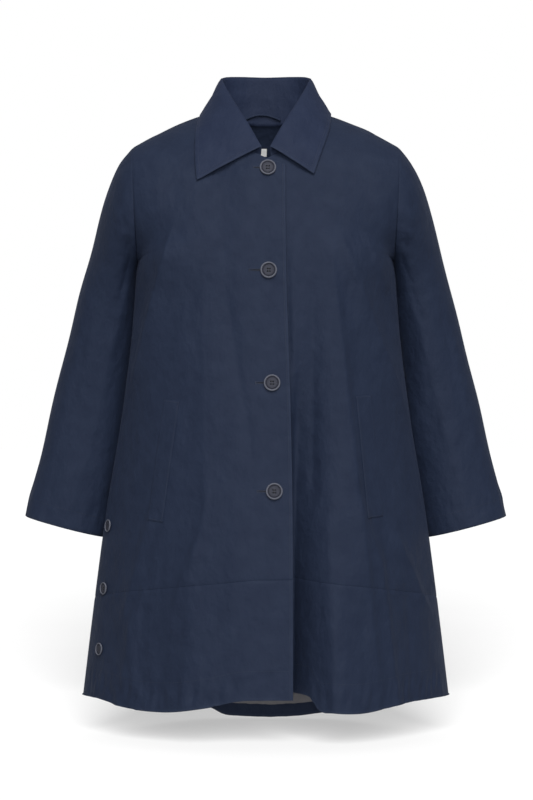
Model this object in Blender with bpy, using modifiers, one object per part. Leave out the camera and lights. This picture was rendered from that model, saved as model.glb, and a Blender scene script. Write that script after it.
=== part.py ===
"""A thigh-length swing overcoat, hollow and filled out as if worn, modelled piece by piece.

The frame has +Z up and the front towards -Y. The origin is in the middle of the neck, level with the
shoulders. Tables are in millimetres and the meshes in metres. The viewer's left is the wearer's right.
"""
import math

import bmesh
import bpy
import numpy as np
from mathutils import Vector
from mathutils.bvhtree import BVHTree

# Driving sizes, in millimetres
MM = 0.001
WALL = 1.6
COLLAR_WALL = 2.0
SEAM_GAP = 0.3
SHARPEST_MITRE = 0.55            # the least share of a normal left where a seam bends
LAP = WALL + 1.4                 # how far the overlapping front lies outside the other
LAP_FADE = (-70.0, -34.0)        # x where the overlap starts to lift and where it is fully lifted
LAP_WIDTH = 26.0                 # from the button line to each front edge
ARMHOLE_TOP = (199.0, -47.0)     # x and z
ARMHOLE_BOTTOM = (190.0, -217.0)
ARMHOLE_HALF_DEPTH = 78.0
NECK_POINT = (76.0, 0.0, 7.0)    # where the shoulder seam meets the collar
BACK_NECK = (62.0, -4.0)         # depth and height of the neckline at the centre back
FRONT_COLUMNS = 18
LAP_COLUMNS = 3                  # columns of a front that lie on the other front
NECK_COLUMNS = 4                 # columns along half of the back neckline
SLEEVE_COLUMNS = 20
LOWER_LEVELS = (0.0, 0.11, 0.4, 0.7, 1.0)
UPPER_STEPS = 10
LINING_ROWS = (1, 5)
LINING_WALL = 0.8
SEAM_LEVEL = 1.0
UNDERARM_LEVEL = 6.0
CORNER_LEVEL = 8.0
SHOULDER_LEVEL = 10.0
SHARP_ANGLE = 50.0               # edges that bend more than this, in degrees, are shaded sharp
BUTTON_SHARP_ANGLE = 40.0
LOOK_FROM_Y = -1000.0            # where a line of sight starts, in front of the coat
LEAST_LENGTH = 1e-9              # keeps a vector of no length from being divided by nothing

# The button line, which drifts to one side on its way to the hem
CENTRE_LINE_COLUMNS = ("z", "x")
CENTRE_LINE = ((-850.0, 12.8), (-555.0, 12.2), (-400.0, 9.0), (-239.0, 4.2), (-81.0, 3.0))

# Height of the fronts' hem across the whole front, with its deep recess beside the front edge
HEM_COLUMNS = ("x", "z")
HEM_LINE = (
    (-273.0, -864.0), (-249.0, -863.0), (-204.0, -870.0), (-150.0, -871.5), (-79.0, -861.0),
    (-39.0, -852.0), (13.0, -850.0), (36.0, -848.0), (48.0, -843.0), (58.0, -847.0), (70.0, -863.0),
    (90.0, -868.5), (147.0, -870.5), (171.0, -867.0), (195.0, -863.5), (240.0, -862.0), (273.0, -864.0),
)

# Body sections from the hem (level 0) up to the underarm (level 6) and the shoulder (level 10)
SIDE_COLUMNS = ("level", "half_width", "side_y", "side_z")
SIDE_SECTIONS = (
    (0, 273.0, -15.0, -864.0),
    (1, 255.0, -20.0, -718.0),
    (2, 237.0, -24.0, -585.0),
    (3, 216.5, -26.0, -462.0),
    (4, 202.0, -22.0, -350.0),
    (5, 196.0, -12.0, -274.0),
    (6, 190.0, 0.0, -217.0),
)
CENTRE_COLUMNS = ("level", "edge_z", "front_depth", "back_z", "back_depth")
CENTRE_SECTIONS = (
    (0, -850.0, 200.0, -923.0, 190.0),
    (1, -681.0, 183.0, -738.0, 168.0),
    (2, -560.0, 169.0, -590.0, 153.0),
    (3, -455.0, 156.0, -462.0, 138.0),
    (4, -355.0, 143.0, -350.0, 122.0),
    (5, -265.0, 133.0, -265.0, 110.0),
    (6, -195.0, 125.0, -205.0, 106.0),
    (7, -135.0, 113.0, -145.0, 103.0),
    (8, -81.0, 97.0, -92.0, 97.0),
    (9, -37.0, 60.0, -42.0, 82.0),
    (10, 7.0, 0.0, -4.0, 62.0),
)
# How each row of the panels turns in plan, in degrees, how full it is at its two ends, how it arches and
# how its height eases from one end to the other
ROW_COLUMNS = ("level", "start_turn", "end_turn", "start_fullness", "end_fullness", "arch",
               "front_ease", "back_ease")
ROW_SHAPES = (
    (0, 0.0, 90.0, 0.62, 0.22, 0.0, 1.2, 1.8),
    (1, 0.0, 90.0, 0.62, 0.20, 0.0, 1.2, 1.5),
    (3, 0.0, 90.0, 0.62, 0.24, 0.0, 1.0, 1.0),
    (5, 0.0, 88.0, 0.62, 0.38, 0.0, 1.0, 1.0),
    (6, 0.0, 80.0, 0.60, 0.48, 0.0, 1.0, 1.0),
    (7, 2.0, 58.0, 0.45, 0.45, 0.0, 1.0, 1.0),
    (8, 6.0, 30.0, 0.36, 0.36, 2.0, 1.0, 1.0),
    (9, 8.0, 18.0, 0.34, 0.34, 4.0, 1.0, 1.0),
    (10, 0.0, 0.0, 0.33, 0.33, 6.0, 1.0, 1.0),
)
# The front neckline from the front corner to the neck point, x away from the wearer's middle
NECKLINE_COLUMNS = ("level", "x", "y", "z")
FRONT_NECKLINE = (
    (8.4, 8.0, -93.0, -68.0),
    (8.8, 36.0, -83.0, -52.0),
    (9.2, 57.0, -63.0, -31.0),
    (9.6, 70.0, -34.0, -11.0),
    (10.0, 76.0, 0.0, 7.0),
)
# Sleeve rings from the armhole down: outer and inner edge, half depth and how far back the middle lies
RING_COLUMNS = ("along", "outer_x", "outer_z", "inner_x", "inner_z", "half_depth", "middle_y")
SLEEVE_RINGS = (
    (0.0, 199.0, -47.0, 190.0, -217.0, 78.0, 0.0),
    (1.0, 219.0, -72.0, 192.0, -222.0, 77.0, 3.0),
    (2.0, 235.0, -105.0, 192.2, -232.0, 75.0, 10.0),
    (3.0, 251.5, -155.0, 192.5, -250.0, 71.0, 20.0),
    (4.0, 270.0, -223.0, 193.0, -283.0, 67.0, 32.0),
    (5.0, 296.0, -319.0, 196.5, -344.0, 64.0, 42.0),
    (6.0, 329.5, -457.0, 212.0, -482.0, 58.0, 44.0),
    (7.0, 363.0, -600.0, 241.0, -632.0, 52.0, 34.0),
)
SLEEVE_STEPS = 14
# Largest folds, seen from the front or the back: two ends, their heights (negative sinks in), half width
FOLD_COLUMNS = ("panel", "x1", "z1", "x2", "z2", "height1", "height2", "width")
FOLDS = (
    ("left", 96.0, -266.0, 156.0, -787.0, 3.0, 8.0, 24.0),
    ("left", 164.0, -622.0, 190.0, -830.0, 4.0, 8.0, 20.0),
    ("left", 196.0, -643.0, 226.0, -704.0, 3.0, 4.0, 16.0),
    ("left", 110.0, -196.0, 188.0, -396.0, 6.0, 3.0, 20.0),
    ("left", 142.0, -165.0, 168.0, -250.0, -4.0, -6.0, 22.0),
    ("left", 42.0, -470.0, 48.0, -868.0, -2.0, -34.0, 26.0),
    ("left", 88.0, -520.0, 98.0, -868.0, 2.0, 12.0, 24.0),
    ("right", -130.0, -190.0, -194.0, -389.0, 6.0, 3.0, 20.0),
    ("right", -190.0, -735.0, -211.0, -850.0, 5.0, 8.0, 18.0),
    ("right", -190.0, -624.0, -212.0, -689.0, -5.0, -4.0, 16.0),
    ("right", -88.0, -277.0, -95.0, -560.0, 3.0, 4.0, 26.0),
    ("fronts", -34.0, -300.0, -40.0, -520.0, -3.0, -2.0, 24.0),
    ("right", -130.0, -640.0, -150.0, -870.0, -3.0, -7.0, 26.0),
    ("back", -62.0, -380.0, -95.0, -905.0, 2.0, 13.0, 30.0),
    ("back", 70.0, -420.0, 105.0, -900.0, 2.0, 12.0, 28.0),
    ("back", 4.0, -500.0, 8.0, -920.0, -2.0, -12.0, 34.0),
    ("back", -150.0, -520.0, -185.0, -880.0, -2.0, -9.0, 26.0),
    ("back", 158.0, -560.0, 192.0, -880.0, -2.0, -9.0, 26.0),
    ("back", -110.0, -150.0, -168.0, -330.0, 5.0, 3.0, 22.0),
    ("back", 104.0, -160.0, 160.0, -320.0, 5.0, 3.0, 22.0),
)
FOLD_SHOULDER_FADE = 40.0        # folds die out this near the shoulder seam
FOLD_EDGE_SHARE = 0.14           # and in this share of a row beside the side seam and the armhole

# The collar round half of the neck, from its front end (place 0) by the neck point (1) to the centre
# back (2): the crest of its roll, then the outer edge of the wearer's right leaf and of the left one
COLLAR_COLUMNS = ("place", "crest", "right_edge", "left_edge")
COLLAR_STATIONS = (
    (0.0, (6.0, -99.0, -55.0), (101.0, -100.0, -105.0), (71.0, -105.0, -94.0)),
    (0.33, (24.0, -78.0, -21.0), (104.0, -85.0, -72.0), (82.0, -88.0, -62.0)),
    (0.66, (43.0, -47.0, 15.0), (105.0, -50.0, -36.0), (93.0, -50.0, -31.0)),
    (1.0, (58.5, -6.0, 49.0), (101.0, 0.0, -3.0), (98.0, 0.0, -1.0)),
    (1.4, (57.5, 31.0, 64.0), (90.0, 50.0, -8.0), (88.0, 50.0, -7.0)),
    (1.7, (36.0, 50.0, 67.0), (52.0, 82.0, -20.0), (52.0, 82.0, -20.0)),
    (2.0, (0.0, 57.0, 67.0), (0.0, 94.0, -28.0), (0.0, 94.0, -28.0)),
)
COLLAR_STEPS = 16                # stations along each half, two to each step of the neckline
COLLAR_PUFF = 7.0                # how far the leaf springs out from its roll before it falls
COLLAR_LIFT = COLLAR_WALL + 1.8  # how far the outside of the leaf stays off the coat
STAND_LIFT = 0.4
CLEARING_ROUNDS = 4
CLEARING_SAMPLES = 5
CREST_STEP = 0.01                # between two places whose crests give the collar's run
STAND_SHARES = (0.0, 0.5)
FALL_SHARES = (0.0, 0.12, 0.28, 0.46, 0.65, 0.84, 1.0)

# Pocket welts: the middle of their top and bottom ends, x and z
WELT_COLUMNS = ("side", "top_x", "top_z", "bottom_x", "bottom_z")
WELTS = (
    ("right", -136.0, -425.0, -160.0, -600.0),
    ("left", 141.0, -418.0, 158.0, -594.0),
)
WELT_WIDTH = 23.0
WELT_CELLS = (12, 4)             # along and across
TRIM_LIFT = 0.5                  # how far trim lies off the cloth under it

# Buttons: heights of the front ones on the button line, and x and z of those beside the side seam
FRONT_BUTTON_Z = (-86.5, -237.0, -400.0, -555.0)
SIDE_BUTTON_SPOTS = ((-232.0, -610.5), (-238.0, -702.5), (-244.0, -791.0))
FRONT_BUTTON_RADIUS = 12.0
SIDE_BUTTON_RADIUS = 9.2
BUTTON_COLUMNS = ("share of the radius", "share of the height")
BUTTON_SHAPE = ((0.0, 0.55), (0.58, 0.55), (0.70, 0.82), (0.84, 1.0), (0.97, 0.72), (1.0, 0.4),
                (0.8, 0.0), (0.0, 0.0))
BUTTON_HEIGHT = 0.30             # of the radius, as are the next two
BUTTON_HOLE_RADIUS = 0.085
BUTTON_HOLE_SPREAD = 0.25
BUTTON_HOLE_COUNT = 4
BUTTON_HOLE_SIDES = 6
BUTTON_STEPS = 12
BUTTON_WELD = 0.01               # points of the turned profile this near each other become one

# The loop at the back neck and the blank label inside the back
LOOP_ENDS_X = (-35.0, 23.0)
LOOP_LOW_Z = 1.0
LOOP_RISE = 8.5
LOOP_RADIUS = 1.7
LOOP_POINTS = 9
LABEL_X = (-22.0, 1.5)
LABEL_Z = (-60.0, -39.0)
LABEL_WALL = 0.7
LABEL_CELLS = (3, 3)

# Finishes: base colour, roughness
FINISHES = {
    "navy_cloth": ((0.026, 0.036, 0.068), 0.78),
    "navy_collar": ((0.030, 0.040, 0.084), 0.74),
    "dark_button": ((0.030, 0.031, 0.042), 0.35),
    "pale_lining": ((0.36, 0.35, 0.37), 0.6),
    "white_label": ((0.80, 0.80, 0.80), 0.6),
}


def column(names, table, name):
    """One named column of a table."""
    place = names.index(name)
    return np.array([row[place] for row in table], dtype=float)


def smooth(knots, values, at):
    """A smooth curve through values at their knots, read at one place."""
    slopes = np.gradient(values, knots, axis=0)
    index = int(np.clip(np.searchsorted(knots, at) - 1, 0, len(knots) - 2))
    span = knots[index + 1] - knots[index]
    t = (at - knots[index]) / span
    rise = 3 * t * t - 2 * t ** 3
    start_bend = t - 2 * t * t + t ** 3
    end_bend = t ** 3 - t * t
    ends = (1 - rise) * values[index] + rise * values[index + 1]
    return ends + span * (start_bend * slopes[index] + end_bend * slopes[index + 1])


def read(names, table, name, at):
    """A named column read smoothly at a level."""
    return smooth(column(names, table, names[0]), column(names, table, name), at)


def soft_step(low, high, value):
    """Rises smoothly from 0 at low to 1 at high."""
    t = np.clip((value - low) / (high - low), 0.0, 1.0)
    return t * t * (3 - 2 * t)


def unit(vectors):
    """Vectors scaled to length one."""
    lengths = np.linalg.norm(vectors, axis=-1, keepdims=True)
    return vectors / np.maximum(lengths, LEAST_LENGTH)


def centre_x(z):
    """x of the button line, which leans a little towards the hem."""
    return read(CENTRE_LINE_COLUMNS, CENTRE_LINE, "x", z)


def with_hem_line(front, levels):
    """A front whose hem follows the hem line, with the rows up to the cross seam sharing the change."""
    drop = np.array([read(HEM_COLUMNS, HEM_LINE, "z", x) for x in front[0, :, 0]]) - front[0, :, 2]
    shaped = front.copy()
    shaped[..., 2] += np.clip(SEAM_LEVEL - levels, 0.0, 1.0)[:, None] * drop
    return shaped


def armhole_point(level, front):
    """A point of the armhole on the wearer's left, from the underarm up to the shoulder."""
    angle = math.pi * (level - UNDERARM_LEVEL) / (SHOULDER_LEVEL - UNDERARM_LEVEL)
    share = (1 - math.cos(angle)) / 2
    x = ARMHOLE_BOTTOM[0] + share * (ARMHOLE_TOP[0] - ARMHOLE_BOTTOM[0])
    z = ARMHOLE_BOTTOM[1] + share * (ARMHOLE_TOP[1] - ARMHOLE_BOTTOM[1])
    depth = ARMHOLE_HALF_DEPTH * math.sin(angle)
    return np.array((x, -depth if front else depth, z))


def side_point(level, front):
    """Where a row ends: on the side seam, and above the underarm on the armhole."""
    if level > UNDERARM_LEVEL:
        return armhole_point(level, front)
    return np.array([read(SIDE_COLUMNS, SIDE_SECTIONS, name, level) for name in SIDE_COLUMNS[1:]])


def front_start(side, level):
    """Where a front's row starts: on its front edge, and above the corner on the neckline."""
    edge_z = read(CENTRE_COLUMNS, CENTRE_SECTIONS, "edge_z", min(level, CORNER_LEVEL))
    depth = read(CENTRE_COLUMNS, CENTRE_SECTIONS, "front_depth", min(level, CORNER_LEVEL))
    edge = np.array((side * centre_x(edge_z) - LAP_WIDTH, -depth, edge_z))
    if level <= CORNER_LEVEL:
        return edge
    corner = (CORNER_LEVEL,) + tuple(edge)
    knots = column(NECKLINE_COLUMNS, (corner,) + FRONT_NECKLINE, "level")
    points = np.array([row[1:] for row in (corner,) + FRONT_NECKLINE])
    return smooth(knots, points, level)


def row_curve(start, end, level, shares, ease_name):
    """One row of a panel, curved in plan from its start to its end, read at shares of its length."""
    start_turn = math.radians(read(ROW_COLUMNS, ROW_SHAPES, "start_turn", level))
    end_turn = math.radians(read(ROW_COLUMNS, ROW_SHAPES, "end_turn", level))
    arch = read(ROW_COLUMNS, ROW_SHAPES, "arch", level)
    ease = read(ROW_COLUMNS, ROW_SHAPES, ease_name, level)
    wide, deep = abs(end[0] - start[0]), abs(end[1] - start[1])
    towards = 1.0 if end[1] >= start[1] else -1.0
    handles = []
    for turn, fullness_name in ((start_turn, "start_fullness"), (end_turn, "end_fullness")):
        fullness = read(ROW_COLUMNS, ROW_SHAPES, fullness_name, level)
        reach = fullness * (wide * math.cos(turn) + deep * math.sin(turn))
        handles.append(reach * np.array((math.cos(turn), towards * math.sin(turn))))
    t = shares[:, None]
    plan = ((1 - t) ** 3 * start[:2] + 3 * (1 - t) ** 2 * t * (start[:2] + handles[0])
            + 3 * (1 - t) * t * t * (end[:2] - handles[1]) + t ** 3 * end[:2])
    eased = 1 - (1 - shares) ** ease if ease_name == "front_ease" else shares ** ease
    height = start[2] + (end[2] - start[2]) * eased + 4 * arch * shares * (1 - shares)
    return np.column_stack((plan, height))


def front_row(side, level, columns):
    """One row of a front on the wearer's left (side 1) or right (side -1)."""
    start, end = front_start(side, level), side_point(level, True)
    if level > CORNER_LEVEL:
        row = row_curve(start, end, level, np.linspace(0.0, 1.0, columns + 1), "front_ease")
        return row * np.array((side, 1.0, 1.0))
    lap_end = start + np.array((2 * LAP_WIDTH, 0.0, 0.0))
    lap = np.linspace(start, lap_end, LAP_COLUMNS * columns // FRONT_COLUMNS + 1)[:-1]
    shares = np.linspace(0.0, 1.0, columns + 1 - len(lap))
    row = np.vstack((lap, row_curve(lap_end, end, level, shares, "front_ease")))
    return row * np.array((side, 1.0, 1.0))


def back_neckline(shares):
    """The back neckline from the centre back (share 0) to the neck point (share 1)."""
    angles = shares * math.pi / 2
    return np.column_stack((NECK_POINT[0] * np.sin(angles), BACK_NECK[0] * np.cos(angles),
                            BACK_NECK[1] + (NECK_POINT[2] - BACK_NECK[1]) * np.sin(angles) ** 2))


def half_back_row(level, columns, neck_columns):
    """One row of the back from its centre to the wearer's left side."""
    end = side_point(level, False)
    start = np.array((0.0, read(CENTRE_COLUMNS, CENTRE_SECTIONS, "back_depth", level),
                      read(CENTRE_COLUMNS, CENTRE_SECTIONS, "back_z", level)))
    top = np.vstack((back_neckline(np.linspace(0.0, 1.0, neck_columns + 1)[:-1]),
                     front_row(1.0, SHOULDER_LEVEL, columns)))
    if level == SHOULDER_LEVEL:
        return top
    even = np.linspace(0.0, 1.0, columns + neck_columns + 1)
    shares = even + (top[:, 0] / top[-1, 0] - even) * soft_step(UNDERARM_LEVEL, SHOULDER_LEVEL, level)
    return row_curve(start, end, level, shares, "back_ease")


def panel_levels(lower_levels, upper_steps, armhole_steps):
    """Levels of the rows from the hem to the shoulder."""
    upper = np.linspace(SEAM_LEVEL, UNDERARM_LEVEL, upper_steps + 1)[1:]
    armhole = np.linspace(UNDERARM_LEVEL, SHOULDER_LEVEL, armhole_steps + 1)[1:]
    return np.concatenate((lower_levels, upper, armhole))


def sleeve_ring(side, along, columns):
    """One ring of a sleeve, from its outer edge round by the front."""
    outer = np.array((read(RING_COLUMNS, SLEEVE_RINGS, "outer_x", along), 0.0,
                      read(RING_COLUMNS, SLEEVE_RINGS, "outer_z", along)))
    inner = np.array((read(RING_COLUMNS, SLEEVE_RINGS, "inner_x", along), 0.0,
                      read(RING_COLUMNS, SLEEVE_RINGS, "inner_z", along)))
    half_depth = read(RING_COLUMNS, SLEEVE_RINGS, "half_depth", along)
    middle_y = read(RING_COLUMNS, SLEEVE_RINGS, "middle_y", along)
    middle = (outer + inner) / 2 + np.array((0.0, middle_y, 0.0))
    angles = np.linspace(0.0, 2 * math.pi, columns + 1)[:-1, None]
    deep = np.array((0.0, half_depth, 0.0))
    ring = middle + np.cos(angles) * (outer - inner) / 2 - np.sin(angles) * deep
    return ring * np.array((side, 1.0, 1.0))


def side_share(panel, columns):
    """How far along its row each column of a panel lies from the side seam."""
    from_left = np.linspace(0.0, 1.0, columns)
    if panel == "right":
        return from_left
    if panel == "left":
        return 1 - from_left
    return 2 * np.minimum(from_left, 1 - from_left)


def fold_height(panel, points):
    """How far the folds of a panel lift its points off its smooth form."""
    total = np.zeros(points.shape[:-1])
    flat = points[..., (0, 2)]
    for name, x1, z1, x2, z2, height1, height2, width in FOLDS:
        if name != panel and not (name == "fronts" and panel in ("left", "right")):
            continue
        start = np.array((x1, z1))
        run = np.array((x2 - x1, z2 - z1))
        along = np.clip(((flat - start) @ run) / (run @ run), 0.0, 1.0)
        apart = np.linalg.norm(flat - start - along[..., None] * run, axis=-1)
        total += (height1 + (height2 - height1) * along) * np.exp(-(apart / width) ** 2)
    total *= soft_step(0.0, FOLD_SHOULDER_FADE, np.abs(points[..., 1]))
    return total * soft_step(0.0, FOLD_EDGE_SHARE, side_share(panel, points.shape[1]))


def face_normals(grid, closed):
    """Normals of a grid's cells: rows run up, and columns to the right when seen from outside."""
    right = np.roll(grid, -1, axis=1) if closed else grid[:, 1:]
    left = grid if closed else grid[:, :-1]
    return np.cross(right[1:] - left[:-1], left[1:] - right[:-1])


def point_key(point):
    """A point rounded, so that the shared points of a seam are found again."""
    return tuple(np.round(point, 2))


def common_normals(grids):
    """Normals at the points of each grid, the same on both sides of a seam and longer where it bends."""
    sums, counts = {}, {}
    for grid, closed in grids.values():
        normals = unit(face_normals(grid, closed))
        for i in range(normals.shape[0]):
            for j in range(normals.shape[1]):
                k = (j + 1) % grid.shape[1]
                for corner in ((i, j), (i + 1, j), (i, k), (i + 1, k)):
                    key = point_key(grid[corner])
                    sums[key] = sums.get(key, 0.0) + normals[i, j]
                    counts[key] = counts.get(key, 0) + 1
    result = {}
    for name, (grid, closed) in grids.items():
        keys = [point_key(point) for point in grid.reshape(-1, 3)]
        mean = np.array([sums[key] / counts[key] for key in keys]).reshape(grid.shape)
        bend = np.linalg.norm(mean, axis=-1, keepdims=True)
        result[name] = unit(mean) / np.clip(bend, SHARPEST_MITRE, 1.0)
    return result


def own_normals(grid, closed=False):
    """Normals at the points of a grid that shares no seam."""
    return common_normals({"own": (grid, closed)})["own"]


def set_back(grid, closed, distance):
    """A grid whose edges are drawn in by a distance along its surface."""
    moved = grid.copy()
    moved[0] += distance * unit(grid[1] - grid[0])
    moved[-1] += distance * unit(grid[-2] - grid[-1])
    if not closed:
        moved[:, 0] += distance * unit(grid[:, 1] - grid[:, 0])
        moved[:, -1] += distance * unit(grid[:, -2] - grid[:, -1])
    return moved


def body_grids(levels, columns, neck_columns, sleeve_columns, sleeve_steps):
    """Smooth forms of the fronts, back and sleeves, whose seams share their points."""
    front_left = with_hem_line(np.array([front_row(1.0, level, columns) for level in levels]), levels)
    front_right = with_hem_line(np.array([front_row(-1.0, level, columns) for level in levels]), levels)
    half = np.array([half_back_row(level, columns, neck_columns) for level in levels])
    mirrored = half[:, 1:] * np.array((-1.0, 1.0, 1.0))
    back = np.concatenate((half[:, ::-1], mirrored), axis=1)
    alongs = np.linspace(SLEEVE_RINGS[0][0], SLEEVE_RINGS[-1][0], sleeve_steps + 1)
    sleeve_left = np.array([sleeve_ring(1.0, along, sleeve_columns) for along in alongs])
    sleeve_right = np.array([sleeve_ring(-1.0, along, sleeve_columns) for along in alongs])[:, ::-1]
    return {
        "front_left": (front_left, False),
        "front_right": (front_right[:, ::-1], False),
        "back": (back, False),
        "sleeve_left": (sleeve_left, True),
        "sleeve_right": (sleeve_right, True),
    }


def draped_grids(grids):
    """The panels with their folds, and the overlapping front lifted off the other."""
    normals = common_normals(grids)
    draped = {}
    for name, (grid, closed) in grids.items():
        panel = name.replace("front_", "")
        lift = fold_height(panel, grid)
        if panel == "right":
            lift = lift + LAP * soft_step(LAP_FADE[0], LAP_FADE[1], grid[..., 0])
        draped[name] = (grid + normals[name] * lift[..., None], closed)
    return draped


def new_mesh_object(name, points, faces, finish, collection):
    """A mesh object from points in millimetres, with its own finish."""
    mesh = bpy.data.meshes.new(name)
    mesh.from_pydata([tuple(point * MM) for point in points], [], faces)
    mesh.validate()
    mesh.shade_smooth()
    mesh.set_sharp_from_angle(angle=math.radians(SHARP_ANGLE))
    mesh.materials.append(finish_material(finish, name))
    thing = bpy.data.objects.new(name, mesh)
    collection.objects.link(thing)
    return thing


def finish_material(finish, name):
    """A Principled material for one piece."""
    colour, roughness = FINISHES[finish]
    material = bpy.data.materials.new(finish + "_" + name)
    material.use_nodes = True
    shader = material.node_tree.nodes["Principled BSDF"]
    shader.inputs["Base Color"].default_value = colour + (1.0,)
    shader.inputs["Roughness"].default_value = roughness
    shader.inputs["Metallic"].default_value = 0.0
    return material


def cell_triangles(low_left, low_right, high_right, high_left):
    """Two triangles of one cell, always cut along the same diagonal."""
    return [(low_left, low_right, high_right), (low_left, high_right, high_left)]


def rim_triangles(points, corners):
    """Two triangles of one cell of a rim, cut along its shorter diagonal."""
    across = np.linalg.norm(points[corners[0]] - points[corners[2]])
    other = np.linalg.norm(points[corners[1]] - points[corners[3]])
    if other < across:
        corners = corners[1:] + corners[:1]
    return cell_triangles(*corners)


def wall_faces(points, rows, columns, closed):
    """Faces of a wall: its outside, its inside and the rims round its edges."""
    layer = rows * columns
    faces = []
    cells = columns if closed else columns - 1
    for i in range(rows - 1):
        for j in range(cells):
            k = (j + 1) % columns
            corners = (i * columns + j, i * columns + k, (i + 1) * columns + k, (i + 1) * columns + j)
            faces += cell_triangles(*corners)
            faces += [face[::-1] for face in cell_triangles(*(corner + layer for corner in corners))]
    top = (rows - 1) * columns
    rims = []
    for j in range(cells):
        k = (j + 1) % columns
        rims += [(j, k), (top + k, top + j)]
    if not closed:
        for i in range(rows - 1):
            low, high = i * columns, (i + 1) * columns
            rims += [(high, low), (low + columns - 1, high + columns - 1)]
    for first, second in rims:
        faces += rim_triangles(points, (first + layer, second + layer, second, first))
    return faces


def cloth_wall(name, grid, normals, thickness, finish, collection, closed=False, gap=SEAM_GAP / 2):
    """A closed wall of cloth inside a grid of points, mitred at its seams."""
    outside = set_back(grid, closed, gap)
    inside = outside - normals * thickness
    rows, columns = grid.shape[:2]
    points = np.vstack((outside.reshape(-1, 3), inside.reshape(-1, 3)))
    return new_mesh_object(name, points, wall_faces(points, rows, columns, closed), finish, collection)


def surface_tree(grids):
    """A search tree over the outer faces of some panels."""
    points, faces = [], []
    for grid in grids:
        rows, columns = grid.shape[:2]
        first = len(points)
        points += [Vector(point) for point in grid.reshape(-1, 3)]
        for i in range(rows - 1):
            for j in range(columns - 1):
                low = first + i * columns + j
                faces += cell_triangles(low, low + 1, low + columns + 1, low + columns)
    return BVHTree.FromPolygons(points, faces)


def seen_from_front(tree, x, z):
    """The nearest cloth to the viewer at x and z: its point and outward normal."""
    point, normal, _, _ = tree.ray_cast(Vector((x, LOOK_FROM_Y, z)), Vector((0.0, 1.0, 0.0)))
    return np.array(point), np.array(normal)


def make_panels(draped, collection):
    """The fronts and the back, cut at the cross seam that runs round the coat, and the sleeves."""
    normals = common_normals(draped)
    seam_row = len(LOWER_LEVELS) - 1
    for panel in ("front_right", "front_left", "back"):
        grid, _ = draped[panel]
        for part, rows in (("lower", slice(0, seam_row + 1)), ("upper", slice(seam_row, None))):
            name = "%s_%s" % (panel, part)
            cloth_wall(name, grid[rows], normals[panel][rows], WALL, "navy_cloth", collection)
    for side in ("right", "left"):
        sleeve = draped["sleeve_" + side][0].copy()
        sleeve[0, :, 0] += SEAM_GAP * (1 if side == "left" else -1)
        normal = normals["sleeve_" + side]
        cloth_wall("sleeve_" + side, sleeve, normal, WALL, "navy_cloth", collection, closed=True, gap=0.0)
    return normals


def neckline_point(side, place):
    """A point of the neckline on one side, from the collar's front end (0) to the centre back (2)."""
    if place <= 1.0:
        first = FRONT_NECKLINE[0][0]
        point = front_start(side, first + place * (SHOULDER_LEVEL - first))
    else:
        point = back_neckline(np.array((2.0 - place,)))[0]
    return point * np.array((side, 1.0, 1.0))


def collar_value(name, place):
    """A point of the collar's table read smoothly."""
    at = COLLAR_COLUMNS.index(name)
    values = np.array([row[at] for row in COLLAR_STATIONS])
    return smooth(column(COLLAR_COLUMNS, COLLAR_STATIONS, "place"), values, place)


def lifted(tree, point, lift):
    """A point moved out until it clears the coat by a lift."""
    nearest, normal, _, _ = tree.find_nearest(Vector(point))
    height = (Vector(point) - nearest).dot(normal)
    return point + max(0.0, lift - height) * np.array(normal)


def clear_of_coat(tree, grid, thickness, clearance):
    """A grid whose hidden side is lifted, also between its points, until it clears the coat."""
    grid = grid.copy()
    shares = np.linspace(0.0, 1.0, CLEARING_SAMPLES)
    for _ in range(CLEARING_ROUNDS):
        hidden = grid - own_normals(grid) * thickness
        push = np.zeros_like(grid)
        for i in range(grid.shape[0] - 1):
            for j in range(grid.shape[1] - 1):
                for up in shares:
                    for over in shares:
                        low = (1 - over) * hidden[i, j] + over * hidden[i, j + 1]
                        high = (1 - over) * hidden[i + 1, j] + over * hidden[i + 1, j + 1]
                        point = (1 - up) * low + up * high
                        shift = lifted(tree, point, clearance) - point
                        for corner in ((i, j), (i + 1, j), (i, j + 1), (i + 1, j + 1)):
                            if np.linalg.norm(shift) > np.linalg.norm(push[corner]):
                                push[corner] = shift
        grid += push
    return grid


def collar_section(tree, side, place, stand_shares, fall_shares):
    """One section through the collar, from the edge of its leaf over the roll down to the neckline."""
    flip = np.array((side, 1.0, 1.0))
    crest = collar_value("crest", place) * flip
    edge = collar_value("left_edge" if side > 0 else "right_edge", place) * flip
    ahead = collar_value("crest", min(place + CREST_STEP, COLLAR_STATIONS[-1][0]))
    behind = collar_value("crest", max(place - CREST_STEP, COLLAR_STATIONS[0][0]))
    run = unit((ahead - behind) * flip)
    nearest, normal, _, _ = tree.find_nearest(Vector(neckline_point(side, place)))
    foot = np.array(nearest) + STAND_LIFT * np.array(normal)
    out = unit(np.cross(run, foot - crest))
    out = out if out @ (edge - crest) > 0 else -out
    nearest, normal, _, _ = tree.find_nearest(Vector(edge))
    edge = np.array(nearest) + COLLAR_LIFT * np.array(normal)
    spring = crest + COLLAR_PUFF * out
    bend = (spring + edge) / 2
    fall = []
    for t in fall_shares:
        point = ((1 - t) ** 3 * crest + 3 * (1 - t) ** 2 * t * spring
                 + 3 * (1 - t) * t * t * bend + t ** 3 * edge)
        fall.append(lifted(tree, point, COLLAR_LIFT))
    stand = [foot + t * (crest - foot) for t in stand_shares]
    return np.array(fall[::-1] + stand[::-1])


def collar_grid(tree, steps, stand_shares, fall_shares):
    """The collar's visible side, from the wearer's left end round the back to the right end."""
    places = np.linspace(0.0, 2.0, steps + 1)
    left = [collar_section(tree, 1.0, place, stand_shares, fall_shares) for place in places]
    right = [collar_section(tree, -1.0, place, stand_shares, fall_shares) for place in places[:-1]]
    return np.array(left + right[::-1]).transpose(1, 0, 2)


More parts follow.
